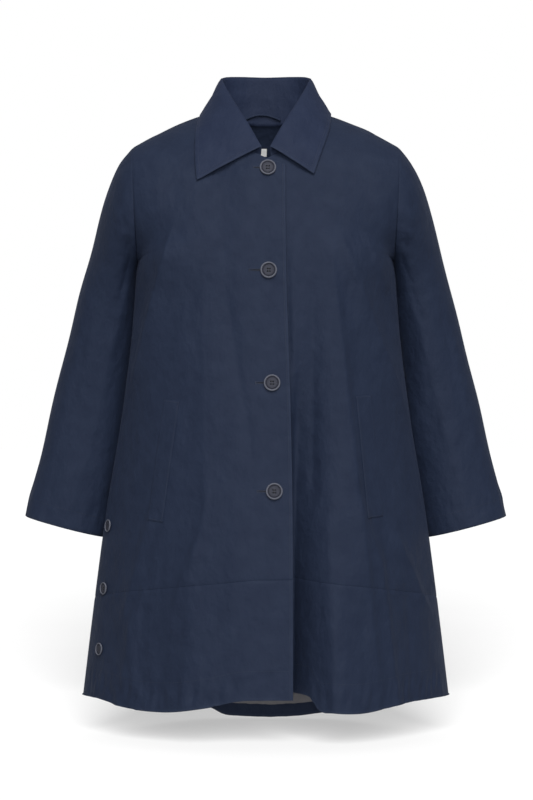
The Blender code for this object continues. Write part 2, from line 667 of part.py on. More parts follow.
def make_collar(tree, collection):
    """The turned-down collar, one piece of cloth with its stand."""
    grid = collar_grid(tree, COLLAR_STEPS, STAND_SHARES, FALL_SHARES)
    grid = clear_of_coat(tree, grid, COLLAR_WALL, STAND_LIFT)
    cloth_wall("collar", grid, own_normals(grid), COLLAR_WALL, "navy_collar", collection)
    return grid


def make_welts(trees, collection):
    """The slanted strips that finish the pockets, laid on the fronts."""
    for side, top_x, top_z, bottom_x, bottom_z in WELTS:
        top, bottom = np.array((top_x, top_z)), np.array((bottom_x, bottom_z))
        along = unit(top - bottom)
        across = np.array((along[1], -along[0])) * WELT_WIDTH / 2
        grid = []
        for up in np.linspace(0.0, 1.0, WELT_CELLS[0] + 1):
            row = []
            for right in np.linspace(-1.0, 1.0, WELT_CELLS[1] + 1):
                x, z = bottom + up * (top - bottom) + right * across
                point, normal = seen_from_front(trees["front_" + side], x, z)
                row.append(point + normal * (TRIM_LIFT + WALL))
            grid.append(row)
        grid = clear_of_coat(trees["front_" + side], np.array(grid), WALL, TRIM_LIFT)
        cloth_wall("pocket_welt_" + side, grid, own_normals(grid), WALL, "navy_cloth", collection)


def button_mesh(name, radius, collection, cutters):
    """A turned button with a raised rim and four holes."""
    profile = bpy.data.meshes.new(name + "_profile")
    points = [(r * radius * MM, 0.0, h * BUTTON_HEIGHT * radius * MM) for r, h in BUTTON_SHAPE]
    profile.from_pydata(points, [(i, i + 1) for i in range(len(points) - 1)], [])
    turned = bpy.data.objects.new(name + "_turned", profile)
    collection.objects.link(turned)
    screw = turned.modifiers.new("turn", "SCREW")
    screw.steps = screw.render_steps = BUTTON_STEPS
    screw.use_merge_vertices = True
    screw.merge_threshold = BUTTON_WELD * MM
    holes = bmesh.new()
    for i in range(BUTTON_HOLE_COUNT):
        angle = math.pi / 4 + i * math.tau / BUTTON_HOLE_COUNT
        hole = BUTTON_HOLE_RADIUS * radius * MM
        made = bmesh.ops.create_cone(holes, cap_ends=True, segments=BUTTON_HOLE_SIDES, radius1=hole,
                                     radius2=hole, depth=radius * MM)
        spread = BUTTON_HOLE_SPREAD * radius * MM
        shift = Vector((math.cos(angle), math.sin(angle), 0.0)) * spread
        bmesh.ops.translate(holes, verts=made["verts"], vec=shift)
    hole_mesh = bpy.data.meshes.new(name + "_holes")
    holes.to_mesh(hole_mesh)
    holes.free()
    cutter = bpy.data.objects.new(name + "_holes", hole_mesh)
    cutter.hide_render = True
    cutter.display_type = "WIRE"
    cutters.objects.link(cutter)
    cut = turned.modifiers.new("holes", "BOOLEAN")
    cut.operation = "DIFFERENCE"
    cut.object = cutter
    bpy.context.view_layer.update()
    mesh = bpy.data.meshes.new_from_object(turned.evaluated_get(bpy.context.evaluated_depsgraph_get()))
    mesh.shade_smooth()
    mesh.set_sharp_from_angle(angle=math.radians(BUTTON_SHARP_ANGLE))
    mesh.name = name
    bpy.data.objects.remove(turned, do_unlink=True)
    return mesh


def place_button(name, mesh, tree, x, z, collection):
    """A button sewn on the cloth, facing out of it."""
    point, normal = seen_from_front(tree, x, z)
    button = bpy.data.objects.new(name, mesh)
    button.location = Vector((point + normal * TRIM_LIFT) * MM)
    button.rotation_mode = "QUATERNION"
    button.rotation_quaternion = Vector(normal).to_track_quat("Z", "Y")
    collection.objects.link(button)


def make_buttons(tree, collection, cutters):
    """Four buttons down the front and three beside the side seam on the wearer's right."""
    front_mesh = button_mesh("front_button", FRONT_BUTTON_RADIUS, collection, cutters)
    front_mesh.materials.append(finish_material("dark_button", "front"))
    for number, z in enumerate(FRONT_BUTTON_Z, start=1):
        place_button("front_button_%d" % number, front_mesh, tree, centre_x(z), z, collection)
    side_mesh = button_mesh("side_button", SIDE_BUTTON_RADIUS, collection, cutters)
    side_mesh.materials.append(finish_material("dark_button", "side"))
    for number, (x, z) in enumerate(SIDE_BUTTON_SPOTS, start=1):
        place_button("side_button_%d" % number, side_mesh, tree, x, z, collection)


def make_lining(back, normals, collection):
    """The pale lining inside the back, which shows above the hem facing."""
    first, last = LINING_ROWS
    inset = back - normals * (WALL + TRIM_LIFT)
    grid, normals = inset[first:last + 1, 1:-1], normals[first:last + 1, 1:-1]
    cloth_wall("back_lining", grid, normals, LINING_WALL, "pale_lining", collection)


def make_label(tree, collection):
    """A blank label sewn inside the back."""
    grid = []
    for z in np.linspace(LABEL_Z[0], LABEL_Z[1], LABEL_CELLS[0] + 1):
        row = []
        for x in np.linspace(LABEL_X[0], LABEL_X[1], LABEL_CELLS[1] + 1):
            point, normal, _, _ = tree.ray_cast(Vector((x, 0.0, z)), Vector((0.0, 1.0, 0.0)))
            row.append(np.array(point) - np.array(normal) * (WALL + TRIM_LIFT + LABEL_WALL))
        grid.append(row)
    grid = np.array(grid)
    cloth_wall("neck_label", grid, own_normals(grid), LABEL_WALL, "white_label", collection)


def make_loop(collar_tree, collection):
    """The hanger loop, a cord of cloth whose ends are caught at the back neck."""
    curve = bpy.data.curves.new("hanger_loop", "CURVE")
    curve.dimensions = "3D"
    curve.bevel_depth = LOOP_RADIUS * MM
    curve.bevel_resolution = 1
    curve.use_fill_caps = True
    spline = curve.splines.new("POLY")
    spline.points.add(LOOP_POINTS - 1)
    for i, point in enumerate(spline.points):
        share = i / (LOOP_POINTS - 1)
        x = LOOP_ENDS_X[0] + share * (LOOP_ENDS_X[1] - LOOP_ENDS_X[0])
        z = LOOP_LOW_Z + LOOP_RISE * math.sin(math.pi * share)
        near, normal, _, _ = collar_tree.ray_cast(Vector((x, 0.0, z)), Vector((0.0, 1.0, 0.0)))
        spot = (near + normal * (LOOP_RADIUS + TRIM_LIFT)) * MM
        point.co = (spot.x, spot.y, spot.z, 1.0)
    curve.materials.append(finish_material("navy_cloth", "hanger_loop"))
    collection.objects.link(bpy.data.objects.new("hanger_loop", curve))


def clear_scene():
    """Empties the scene before the coat is made."""
    for thing in list(bpy.data.objects):
        bpy.data.objects.remove(thing, do_unlink=True)


def main():
    """Makes the coat."""
    clear_scene()
    collection = bpy.data.collections.new("overcoat")
    bpy.context.scene.collection.children.link(collection)
    cutters = bpy.data.collections.new("cutters")
    bpy.context.scene.collection.children.link(cutters)
    levels = panel_levels(LOWER_LEVELS, UPPER_STEPS, SLEEVE_COLUMNS // 2)
    grids = body_grids(levels, FRONT_COLUMNS, NECK_COLUMNS, SLEEVE_COLUMNS, SLEEVE_STEPS)
    draped = draped_grids(grids)
    normals = make_panels(draped, collection)
    fronts = {side: draped["front_" + side][0] for side in ("right", "left")}
    back = draped["back"][0]
    body_tree = surface_tree([fronts["right"], fronts["left"], back])
    front_trees = {"front_" + side: surface_tree([grid]) for side, grid in fronts.items()}
    collar = make_collar(body_tree, collection)
    make_welts(front_trees, collection)
    make_buttons(front_trees["front_right"], collection, cutters)
    make_lining(back, normals["back"], collection)
    make_label(surface_tree([back]), collection)
    make_loop(surface_tree([collar]), collection)


if __name__ == "__main__":
    main()
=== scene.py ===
"""The overcoat dressed for the camera: thin cloth shells, sewing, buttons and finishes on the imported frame.

The frame has +Z up and the front towards -Y. Tables are in millimetres, and the viewer's left is the
wearer's right. The forms repeat the sizes of the solids, with finer folds, creases and sewing on them.
"""
import math

import bmesh
import bpy
import numpy as np
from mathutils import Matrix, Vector
from mathutils.bvhtree import BVHTree


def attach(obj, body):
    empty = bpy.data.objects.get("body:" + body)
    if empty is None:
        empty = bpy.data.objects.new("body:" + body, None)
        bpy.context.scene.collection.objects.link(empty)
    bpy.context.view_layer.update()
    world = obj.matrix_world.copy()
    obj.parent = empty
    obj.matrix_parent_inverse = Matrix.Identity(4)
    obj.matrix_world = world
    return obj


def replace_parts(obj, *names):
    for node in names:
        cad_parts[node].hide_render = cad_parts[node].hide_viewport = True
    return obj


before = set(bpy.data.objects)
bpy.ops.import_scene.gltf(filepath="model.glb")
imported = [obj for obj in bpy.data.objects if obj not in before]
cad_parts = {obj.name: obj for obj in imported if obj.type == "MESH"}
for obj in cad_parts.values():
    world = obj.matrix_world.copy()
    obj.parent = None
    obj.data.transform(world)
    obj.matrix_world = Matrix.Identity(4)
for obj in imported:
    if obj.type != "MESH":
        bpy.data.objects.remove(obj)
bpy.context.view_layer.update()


def table(names, *rows):
    """The columns of a table by their names. The first one holds the places of its rows."""
    return dict(zip(names.split(), np.array(rows, dtype=float).T))


# Sizes of the coat, in millimetres
MM = 0.001
WALL = 1.6
COLLAR_WALL = 2.0
LINING_WALL = 0.8
LABEL_WALL = 0.7
SEAM_GAP = 0.005  # how far each panel is drawn back from its seams
LAP = WALL + 1.4  # how far the overlapping front lies outside the other
LAP_FADE = (-70, -34)
LAP_WIDTH = 26  # from the button line to each front edge
ARMHOLE_TOP = np.array((199, -47))  # x and z
ARMHOLE_BOTTOM = np.array((190, -217))
ARMHOLE_HALF_DEPTH = 78
ARMHOLE_FULLNESS = 0.85  # below 1 the armhole is fuller than an ellipse at the underarm
ARMHOLE_FADE = 3  # the ring of the sleeve from which it is an ellipse
NECK_POINT = np.array((76.0, 0.0, 7.0))
BACK_NECK = (62, -4)  # depth and height of the neckline at the centre back
SEAM_LEVEL = 1
UNDERARM_LEVEL = 6
CORNER_LEVEL = 8
NECK_LEVEL = 9.6  # above it the back's rows bend into the neckline
SHOULDER_LEVEL = 10
TRIM_LIFT = 0.5
LEAST_LENGTH = 1e-9

# How finely the cloth is made
LAP_COLUMNS = 18
CURVE_COLUMNS = 104
BACK_COLUMNS = 64
NECK_COLUMNS = 14
ARMHOLE_STEPS = 60
LOWER_STEPS = 52
UPPER_STEPS = 120
SLEEVE_STEPS = 150
COLLAR_STEPS = 72
NEAR_SEAM = np.array((0.0, 0.7, 1.5, 2.6))  # distances of the rows and columns beside a seam

BUTTON_LINE = table("z x", (-850, 12.8), (-555, 12.2), (-400, 9), (-239, 4.2), (-81, 3))
HEMS = {
    "right": table("x z", (-273, -864), (-249, -863), (-204, -870), (-150, -871.5), (-79, -861), (-39, -852),
                   (0, -850.5), (42, -850.5)),
    "left": table("x z", (-20, -846.5), (40, -847), (57, -847.5), (64, -849.5), (68.5, -856), (73, -864),
                  (78, -868), (92, -869.5), (147, -870.5), (171, -867), (195, -863.5), (240, -862),
                  (273, -864)),
    "back": table("x z", (-273, -864), (-249, -875), (-200, -897), (-150, -907), (-100, -908), (-84, -911),
                  (-70, -919), (-40, -922.5), (0, -923), (50, -922), (87, -918), (110, -914), (150, -906),
                  (200, -891), (249, -874), (273, -864)),
}
SIDES = table(
    "level half_width y z",
    (0, 273, -15, -864),
    (1, 255, -20, -718),
    (2, 237, -24, -585),
    (3, 216.5, -26, -462),
    (4, 202, -22, -350),
    (5, 196, -12, -274),
    (6, 190, 0, -217),
)
CENTRES = table(
    "level edge_z front_depth back_z back_depth",
    (0, -850, 200, -923, 190),
    (1, -681, 183, -738, 168),
    (2, -560, 169, -590, 153),
    (3, -455, 156, -462, 138),
    (4, -355, 143, -350, 122),
    (5, -265, 133, -265, 110),
    (6, -195, 125, -205, 106),
    (7, -135, 113, -145, 103),
    (8, -81, 97, -92, 97),
    (9, -37, 60, -42, 82),
    (10, 7, 0, -4, 62),
)
ROWS = table(
    "level start_turn end_turn start_fullness end_fullness arch front_ease back_ease",
    (0, 0, 90, 0.62, 0.22, 0, 1.2, 1.8),
    (1, 0, 90, 0.62, 0.20, 0, 1.2, 1.5),
    (3, 0, 90, 0.62, 0.32, 0, 1, 1),
    (4, 0, 89, 0.62, 0.52, 0, 1, 1),
    (5, 0, 87, 0.62, 0.70, 0, 1, 1),
    (6, 0, 86, 0.78, 0.85, 0, 1, 1),
    (6.5, 1, 80, 0.66, 0.63, 0, 1, 1),
    (7, 2, 64, 0.50, 0.50, 0, 1, 1),
    (8, 6, 30, 0.36, 0.36, 2, 1, 1),
    (9, 8, 18, 0.34, 0.34, 4, 1, 1),
    (10, 0, 0, 0.33, 0.33, 6, 1, 1),
)
FRONT_NECKLINE = (  # level, x, y and z
    (8.4, 8, -93, -68),
    (8.8, 36, -83, -52),
    (9.2, 57, -63, -31),
    (9.6, 70, -34, -11),
    (10, 76, 0, 7),
)
SLEEVE_RINGS = table(
    "ring outer_x outer_z inner_x inner_z half_depth middle_y",
    (0, 199, -47, 190, -217, 78, 0),
    (1, 219, -72, 190.6, -222, 77, 3),
    (2, 235, -105, 190.8, -232, 75, 10),
    (3, 251.5, -155, 191.4, -250, 71, 20),
    (4, 270, -223, 192.6, -283, 67, 32),
    (5, 296, -319, 196.5, -344, 64, 42),
    (6, 329.5, -457, 212, -482, 58, 44),
    (7, 363, -600, 241, -632, 52, 34),
)
# Folds: x and z of two ends seen from the front or back, heights there (negative sinks in), widths to the
# left and right
FRONT_FOLD = (-59, -268, -19, -505, -2.5, -3, 12, 10)  # runs through both fronts where they overlap
FOLDS = {
    "left": (
        (95, -215, 158, -830, 8, 9, 30, 10),
        (68, -262, 70, -560, -5, -10, 22, 12),
        (110, -190, 200, -428, 6, 6, 16, 9),
        (150, -205, 186, -320, -3, -3, 12, 12),
        (150, -190, 178, -265, 2, 2.5, 5, 9),
        (136, -575, 165, -672, 5, 5, 14, 6),
        (162, -640, 192, -900, 5, 7, 16, 6),
        (186, -615, 241, -738, 5, 5, 14, 7),
        (86, -520, 97, -920, 2, 12, 12, 40),
        (204, -660, 217, -900, -2, -4, 10, 10),
        FRONT_FOLD,
    ),
    "right": (
        (-136, -175, -196, -405, 6, 6, 7, 18),
        (-164, -220, -190, -304, -2.5, -2.5, 8, 8),
        (-90, -225, -88, -570, 2.5, 3, 12, 16),
        FRONT_FOLD,
        (-82, -555, -104, -660, 3.5, 3.5, 6, 16),
        (-98, -630, -131, -718, 3.5, 3, 6, 16),
        (-167, -588, -207, -748, 3.5, 3.5, 7, 10),
        (-190, -722, -216, -890, 3.5, 4.5, 9, 9),
        (-196, -752, -188, -910, 3, 4, 6, 7),
        (-176, -690, -190, -770, 2.5, 2.5, 6, 8),
        (-110, -640, -116, -920, 2, 6, 26, 30),
        (-150, -640, -158, -920, -2, -6, 14, 18),
        (-44, -819, 32, -800, 1.4, 1, 5, 5),
        (-64, -190, -112, -300, -1, -1.6, 16, 16),
    ),
    "back": (
        (-62, -380, -98, -950, 2, 14, 30, 30),
        (70, -420, 108, -950, 2, 13, 28, 28),
        (4, -500, 8, -970, -2, -13, 34, 34),
        (-150, -520, -190, -930, -2, -10, 26, 26),
        (158, -560, 197, -930, -2, -10, 26, 26),
        (-110, -150, -168, -330, 6, 4, 20, 20),
        (104, -160, 160, -320, 6, 4, 20, 20),
        (-30, -560, -50, -950, -1, -4.5, 14, 14),
        (46, -600, 60, -950, -1, -4, 13, 13),
        (-128, -600, -144, -930, 1, 4.5, 12, 12),
        (136, -640, 152, -930, 1, 4, 12, 12),
        (-130, -190, -176, -300, -2.5, -2, 10, 10),
        (128, -200, 172, -310, -2.5, -2, 10, 10),
        (-60, -70, -96, -170, 1.5, 1, 16, 16),
        (58, -74, 90, -180, 1.5, 1, 16, 16),
    ),
}
RECESS = (46, -400, 33, -950, 24, 80, 12, 31)  # the left front recedes beside the edge that laps over it
FOLD_END = 0.15  # the share of a fold's length over which it fades in and out
FOLD_POWER = 1.4  # at 2 the crests are round, and at 1 they are sharp
FOLD_SHOULDER_FADE = 40
FOLD_EDGE_SHARE = 0.14
# Creases of the sleeves: ring and degrees from the outer edge round by the front at two ends, height, width
SLEEVE_CREASES = {
    "right": (
        (0.7, 120, 2.6, 92, 1.8, 6),
        (0.9, 132, 2.5, 110, -2, 6),
        (0.5, 104, 2.1, 80, 1.4, 6),
        (2, 134, 4.2, 112, -2.4, 9),
        (3.6, 128, 6.6, 96, 2.2, 13),
        (4.4, 64, 6.9, 60, -1.8, 12),
        (2, 250, 5.2, 285, 2.4, 13),
        (3, 228, 5, 246, -2.4, 11),
    ),
    "left": (
        (0.6, 118, 2.6, 90, 2, 5),
        (0.9, 129, 2.5, 106, -2.2, 5),
        (0.5, 104, 2.3, 78, 1.8, 5),
        (0.5, 92, 1.8, 70, -1.6, 6),
        (2.2, 130, 4.6, 104, -2.2, 9),
        (3.2, 124, 6.4, 88, 2.2, 13),
        (4.6, 60, 6.9, 66, -1.8, 12),
        (1.8, 254, 5, 290, 2.4, 13),
        (3.1, 232, 5.3, 250, -2.4, 11),
    ),
}
SLEEVE_RING_LENGTH = 85  # between two rings of the table
SLEEVE_RADIUS = 64  # turns degrees into a distance round the sleeve
SLEEVE_LOOSE = (5, 45)  # distances from the armhole between which its cloth comes loose
UNDERARM_PUFF = 2.2  # how far the panels stand out at the underarm
UNDERARM_Z = -230
UNDERARM_SPREAD = 30

# Folding, sewing and edges
PANEL_SEEDS = {"left": (0, 10, 20), "right": (1, 11, 21), "back": (3, 12, 22)}  # ripples, hem and cross seam
SLEEVE_SEEDS = {"left": (5, 15), "right": (6, 16)}  # ripples and cuff
COLLAR_SEEDS = (31, 32)  # stand and leaf
RIPPLE_WAVES = 14
RIPPLE_PITCHES = (0.7, 1.5)  # of their common length
RIPPLE_HEIGHT = 0.8
RIPPLE_LENGTH = 60
RIPPLE_RUN = np.array((1, 0.3))  # they are longer along the drop of the cloth than across it
LOOSE_FROM_SIDE = (10, 60)  # distances from the side seam between which the cloth comes loose
LOOSE_FROM_EDGE = (40, 110)  # and from the front edge
EDGE_DENT = 4.5  # how far the left front gives way under the edge that laps over it
EDGE_DENT_WIDTH = 4.5
EDGE_DENT_FADE = (-150, -330)
GROOVE_DEPTH = 0.6  # of the dip along a seam
GROOVE_WIDTH = 1.8
PUCKER_HEIGHT = 0.5
PUCKER_LENGTH = 15
PUCKER_RUN = 0.25  # puckers are longer across their sewing than along it
HEM_DEPTH = 42  # from the edge to the line where the hem is caught
HEM_ENDS = slice(2, -2)  # the points of that line that are sewn
HEM_PUCKER = 1.7  # of the common puckers
HEM_PUCKER_AT = 20  # above the edge
HEM_PUCKER_WIDTH = 17
SEAM_PUCKER = 0.5  # of the common puckers
SEAM_PUCKER_WIDTH = 10
CUFF_DEPTH = 28
EDGE_BULGE = 0.45  # of the thickness, how round a free edge is
# edges are paled over this width: part wear, part painted highlight
EDGE_WEAR_AND_HIGHLIGHT_WIDTH = 2.4
ON_EDGE = 0.99  # the share of the edge mask (wear and painted highlight) above which a point lies on a free edge
STITCH_PITCH = 3
STITCH_SHARE = 0.72  # of the pitch that a stitch takes up
STITCH_RADIUS = 0.3
HEM_STITCH_RADIUS = 0.2
STITCH_RINGS = ((0.12, 0.75), (0.5, 1), (0.88, 0.75))  # share of the length, share of the radius
STITCH_SINK = 0.6
STITCH_RISE = 0.35
FRONT_EDGE_STITCH = 4.6  # from the front edge to its stitching
COLLAR_STITCH = 7
COLLAR_STITCH_ROWS = 22  # rows of the leaf that the stitching of its ends runs up
STITCH_GROOVE = 0.5
STITCH_GROOVE_WIDTH = 1.3
LOOK_FROM_Y = -1000

# The collar, from its front end (place 0) by the neck point (1) to the centre back (2)
COLLAR_PLACES = np.array((0, 0.33, 0.66, 1, 1.4, 1.7, 2))
COLLAR_LINES = {  # points of its crest and of the edges of its leaves at these places
    "crest": ((6, -99, -55), (24, -78, -21), (45, -47, 15), (62.5, -6, 49), (62.5, 31, 63.5), (39, 50, 67),
              (0, 57, 67)),
    "right": ((101, -100, -105), (104, -85, -72), (103, -50, -36), (97, 0, -3), (88, 50, -8), (52, 82, -20),
              (0, 94, -28)),
    "left": ((71, -105, -94), (82, -88, -62), (93, -50, -31), (97, 0, -1), (88, 50, -7), (52, 82, -20),
             (0, 94, -28)),
}
COLLAR_PUFF = 7
COLLAR_LIFT = COLLAR_WALL + 1.8
STAND_LIFT = 0.4
STAND_INSET = WALL + COLLAR_WALL + STAND_LIFT  # the foot of the stand is sewn inside the neckline
STAND_DROP = 4
CLEARING_ROUNDS = 3
PAST_EDGE = 0.6  # the share of an offset that is sideways where a point lies past an edge
CREST_STEP = 0.01
FALL_FREE = (0.25, 0.6)  # the shares of the fall between which it comes to lie on the coat
FALL_STEPS = 30
STAND_STEPS = 14
STAND_CREASE = 0.7
STAND_CREASE_WIDTH = 14
STAND_CREASE_RUN = np.array((0.3, 2))
COLLAR_RIPPLE = 0.4
COLLAR_RIPPLE_LENGTH = 45
COLLAR_LOOSE = (0, 12)  # distances from its edge and crest between which the leaf comes loose

# Pockets, buttons, loop and label
WELTS = {"right": ((-136, -425), (-160, -600)), "left": ((141, -418), (158, -594))}  # top and bottom, x and z
WELT_WIDTH = 23
WELT_CELLS = (64, 14)  # along and across
WELT_WALL = 0.7
WELT_LIFT = 0.2
WELT_STITCH = 2.2
FRONT_BUTTONS = ((-86.5, 20), (-237, 27), (-400, 22.5), (-555, 23.5))  # z, and how far the buttonhole runs
SIDE_BUTTONS = ((-232, -610.5), (-238, -702.5), (-244, -791))  # x and z
FRONT_BUTTON_RADIUS = 12
SIDE_BUTTON_RADIUS = 9.2
BUTTON_SHAPE = (  # shares of the radius and of the height, from the middle over the rim
    (0, 0.56), (0.30, 0.57), (0.58, 0.60), (0.66, 0.58), (0.70, 0.45), (0.75, 0.44), (0.79, 0.60),
    (0.82, 0.86), (0.86, 0.98), (0.91, 1), (0.96, 0.94), (0.99, 0.78), (1, 0.58), (0.99, 0.40),
    (0.93, 0.18), (0.84, 0.04), (0.78, 0), (0, 0),
)
RIM_HIGHLIGHT_SHARES = (0.77, 0.83)  # of the radius, between which the painted highlight on the rim starts
BUTTON_FACE_SHARES = (0.52, 0.66)  # and between which the painted highlight on the dished middle ends
# how strongly the dished middle is paled: a painted highlight
FACE_HIGHLIGHT = 0.22
BUTTON_HEIGHT = 0.30  # of the radius
BUTTON_MIDDLE = 0.58  # of the height, where the thread lies
BUTTON_HOLE_RADIUS = 0.095
BUTTON_HOLE_SPREAD = 0.16
BUTTON_HOLE_SIDES = 14
BUTTON_STEPS = 56
BUTTON_WELD = 0.01
BUTTON_SHARP_ANGLE = 40
REST_SPREAD = 0.8  # of the radius, where a button touches the cloth
REST_SPOTS = 8
THREAD_STRANDS = (-0.028, 0.028)
THREAD_REACH = 1.25
THREAD_RADIUS = 0.035
HOLE_PAST = 3  # how far a buttonhole runs past the middle of its button
HOLE_STEPS = 44
HOLE_SLIT = 0.7
SLIT_RADIUS = 0.42
HOLE_WIDTH = 4
HOLE_BAR = 9
HOLE_THREAD = 0.34
LOOP_ENDS_X = (-35, 23)
LOOP_LOW_Z = 1
LOOP_RISE = 8.5
LOOP_RADIUS = 1.7
LOOP_POINTS = 41
LOOP_SIDES = 12
LABEL_X = (-9, 1.5)
LABEL_Z = (-50.5, -38.8)
LABEL_POINTS = 15
LINING_LEVELS = (0.11, 1.5)
LINING_SIDE_COLUMNS = 5

# Finishes, in linear colour
NAVY_DEEP = (0.0130, 0.0196, 0.0410)
NAVY_PALE = (0.0172, 0.0256, 0.0508)
# tone of the paled edges, part wear and part painted highlight; also the pale twist of the collar thread
NAVY_PALEST = (0.0270, 0.0370, 0.0660)
COLLAR_DEEP = (0.0145, 0.0215, 0.0470)
COLLAR_PALE = (0.0190, 0.0275, 0.0570)
LINING_DEEP = (0.14, 0.137, 0.147)
LINING_PALE = (0.185, 0.18, 0.19)
LABEL_DEEP = (0.74, 0.74, 0.73)
LABEL_PALE = (0.84, 0.84, 0.83)
BUTTON_DEEP = (0.0145, 0.0155, 0.0235)
BUTTON_PALE = (0.028, 0.030, 0.046)
# colour of the rim: a painted highlight, lighter than the button
PAINTED_RIM_HIGHLIGHT = (0.105, 0.111, 0.138)
# painted shade in a buttonhole's slit; also the darkest tone of the hem and button thread
SLIT_DEEP = (0.004, 0.005, 0.008)
FLOOR_DEEP = (0.49, 0.49, 0.49)
FLOOR_PALE = (0.51, 0.51, 0.51)
WHITE = (1, 1, 1)
BLUE_SHEEN = (0.55, 0.65, 1)
COLLAR_SHEEN = (0.55, 0.62, 1)
TWILL = 1300  # ribs to a metre
# Cloths: name, deep and pale tones, the tone of its edges (part wear, part painted highlight), roughness,
# ribs to a metre, sheen, its tint, share of the crumple
CLOTHS = {
    "navy": ("navy_cotton", NAVY_DEEP, NAVY_PALE, NAVY_PALEST, 0.66, TWILL, 0.03, BLUE_SHEEN, 0.8),
    "welt": ("navy_welt_cotton", NAVY_DEEP, NAVY_PALE, NAVY_PALE, 0.66, TWILL, 0.03, BLUE_SHEEN, 0.8),
    "collar": ("navy_collar_cotton", COLLAR_DEEP, COLLAR_PALE, NAVY_PALEST, 0.64, TWILL, 0.04, COLLAR_SHEEN,
               0.8),
    "lining": ("pale_lining_cloth", LINING_DEEP, LINING_PALE, LINING_PALE, 0.5, TWILL, 0.2, WHITE, 1),
    "label": ("white_label_tape", LABEL_DEEP, LABEL_PALE, LABEL_PALE, 0.6, TWILL / 2, 0.1, WHITE, 0.3),
    "loop": ("navy_loop_cotton", NAVY_DEEP, NAVY_PALE, NAVY_PALEST, 0.6, TWILL, 0.03, BLUE_SHEEN, 0.8),
}
YARNS = {  # name, deep and pale tones
    "thread": ("navy_thread", NAVY_DEEP, NAVY_PALE),
    "hem_thread": ("hem_thread", SLIT_DEEP, NAVY_DEEP),
    "collar_thread": ("collar_thread", COLLAR_DEEP, NAVY_PALEST),
    "button_thread": ("dark_button_thread", SLIT_DEEP, SLIT_DEEP),
    "slit": ("buttonhole_shadow", SLIT_DEEP, SLIT_DEEP),
}
MIX_FIRST, MIX_SECOND = 6, 7  # places of the colours among a Mix node's inputs
MIX_RESULT = 2
WEAVE_HEIGHT = 0.00006
CRUMPLE_HEIGHT = 0.0040
RIB = (0.35, 0.5)  # height of the twill's ribs, and their middle
GRAIN = (2, 0.15)  # threads to a rib, and their height
CLOUDS = (45, 6)  # scale and detail of a noise, and then its stretch
SLUBS = (260, 2, (1, 0.05, 1))
# noise that breaks up the paled edges, part wear and part painted highlight
WEAR_AND_HIGHLIGHT_NOISE = (90, 3)
CRUMPLES = (55, 5, (1, 1, 0.7))
BUTTON_CLOUDS = (320, 4)
SCRATCHES = (1500, 2, (1, 0.1, 1))
TWIST = (2400, 1, (1, 1, 0.4))
FLOOR_CLOUDS = (3, 2)
CLOUD_CONTRAST = (2.2, 0.6)  # the clouds are scaled by the first, and the second comes off
CLOUD_SHARE = 0.7
SLUB_SHARE = 0.3
WEAR_AND_HIGHLIGHT_SHARE = 0.9
CLOUD_ROUGHNESS = -0.06
BUTTON_ROUGHNESS = (0.45, 0.2)  # at least, and how much the scratches add
THREAD_ROUGHNESS = (0.5, 0.2)
FLOOR_ROUGHNESS = 0.9
SHEEN_ROUGHNESS = 0.4
CLOTH_SHINE = 0.10
BUTTON_SHINE = 0.12
SCRATCH_BUMP = (0.25, 0.00004)  # strength and height
FLOOR_GLOW = 0.42  # the floor is lit from below, as a light table is

# Floor, light and camera, in metres
FLOOR_Z = -0.9268
FLOOR_HALF = 20
AMBIENT = 0.30  # light from all round, where the ground that shows is white
SOFT_LIGHTS = (  # name, what it lights, where it shines from, strength and degrees across
    ("key", "coat", (0.14, -1, 1), 2.5, 36),
    ("fill", "coat", (0, -1, 0.05), 1.15, 14),
    ("floor_light", "floor", (0, -1, 0.33), 9.5, 26),
)
CAMERA_PLACE = (0.001, -3.5, -0.4245)
CAMERA_LENS = 105
CAMERA_SENSOR = 36

# The lower, right, upper and left edges of a grid of points, each with the line of points beside it
EDGES = (
    (np.s_[0], np.s_[1]),
    (np.s_[:, -1], np.s_[:, -2]),
    (np.s_[-1], np.s_[-2]),
    (np.s_[:, 0], np.s_[:, 1]),
)


def smooth(knots, values, at):
    """A smooth curve through values at their knots, read at one place."""
    slopes = np.gradient(values, knots, axis=0)
    index = int(np.clip(np.searchsorted(knots, at) - 1, 0, len(knots) - 2))
    span = knots[index + 1] - knots[index]
    t = (at - knots[index]) / span
    rise = 3 * t * t - 2 * t ** 3
    ends = (1 - rise) * values[index] + rise * values[index + 1]
    return ends + span * ((t - 2 * t * t + t ** 3) * slopes[index] + (t ** 3 - t * t) * slopes[index + 1])


def read(columns, name, at):
    """A named column of a table, read smoothly at a place."""
    return smooth(next(iter(columns.values())), columns[name], at)


def cubic(t, first, second, third, last):
    """A cubic curve by its four points, read at t."""
    return (1 - t) ** 3 * first + 3 * (1 - t) ** 2 * t * second + 3 * (1 - t) * t * t * third + t ** 3 * last


def soft_step(low, high, value):
    """Goes smoothly from 0 at low to 1 at high."""
    t = np.clip((value - low) / (high - low), 0.0, 1.0)
    return t * t * (3 - 2 * t)


def hump(distance, width):
    """A round hump of height 1 over distances from its middle."""
    return np.exp(-(distance / width) ** 2)


def unit(vectors):
    """Vectors scaled to length one."""
    return vectors / np.maximum(np.linalg.norm(vectors, axis=-1, keepdims=True), LEAST_LENGTH)


def sided(points, side):
    """Points of the wearer's left side, put on it (side 1) or mirrored to the right (side -1)."""
    return points * np.array((side, 1.0, 1.0))


def button_line_x(z):
    """x of the button line at a height."""
    return read(BUTTON_LINE, "x", z)


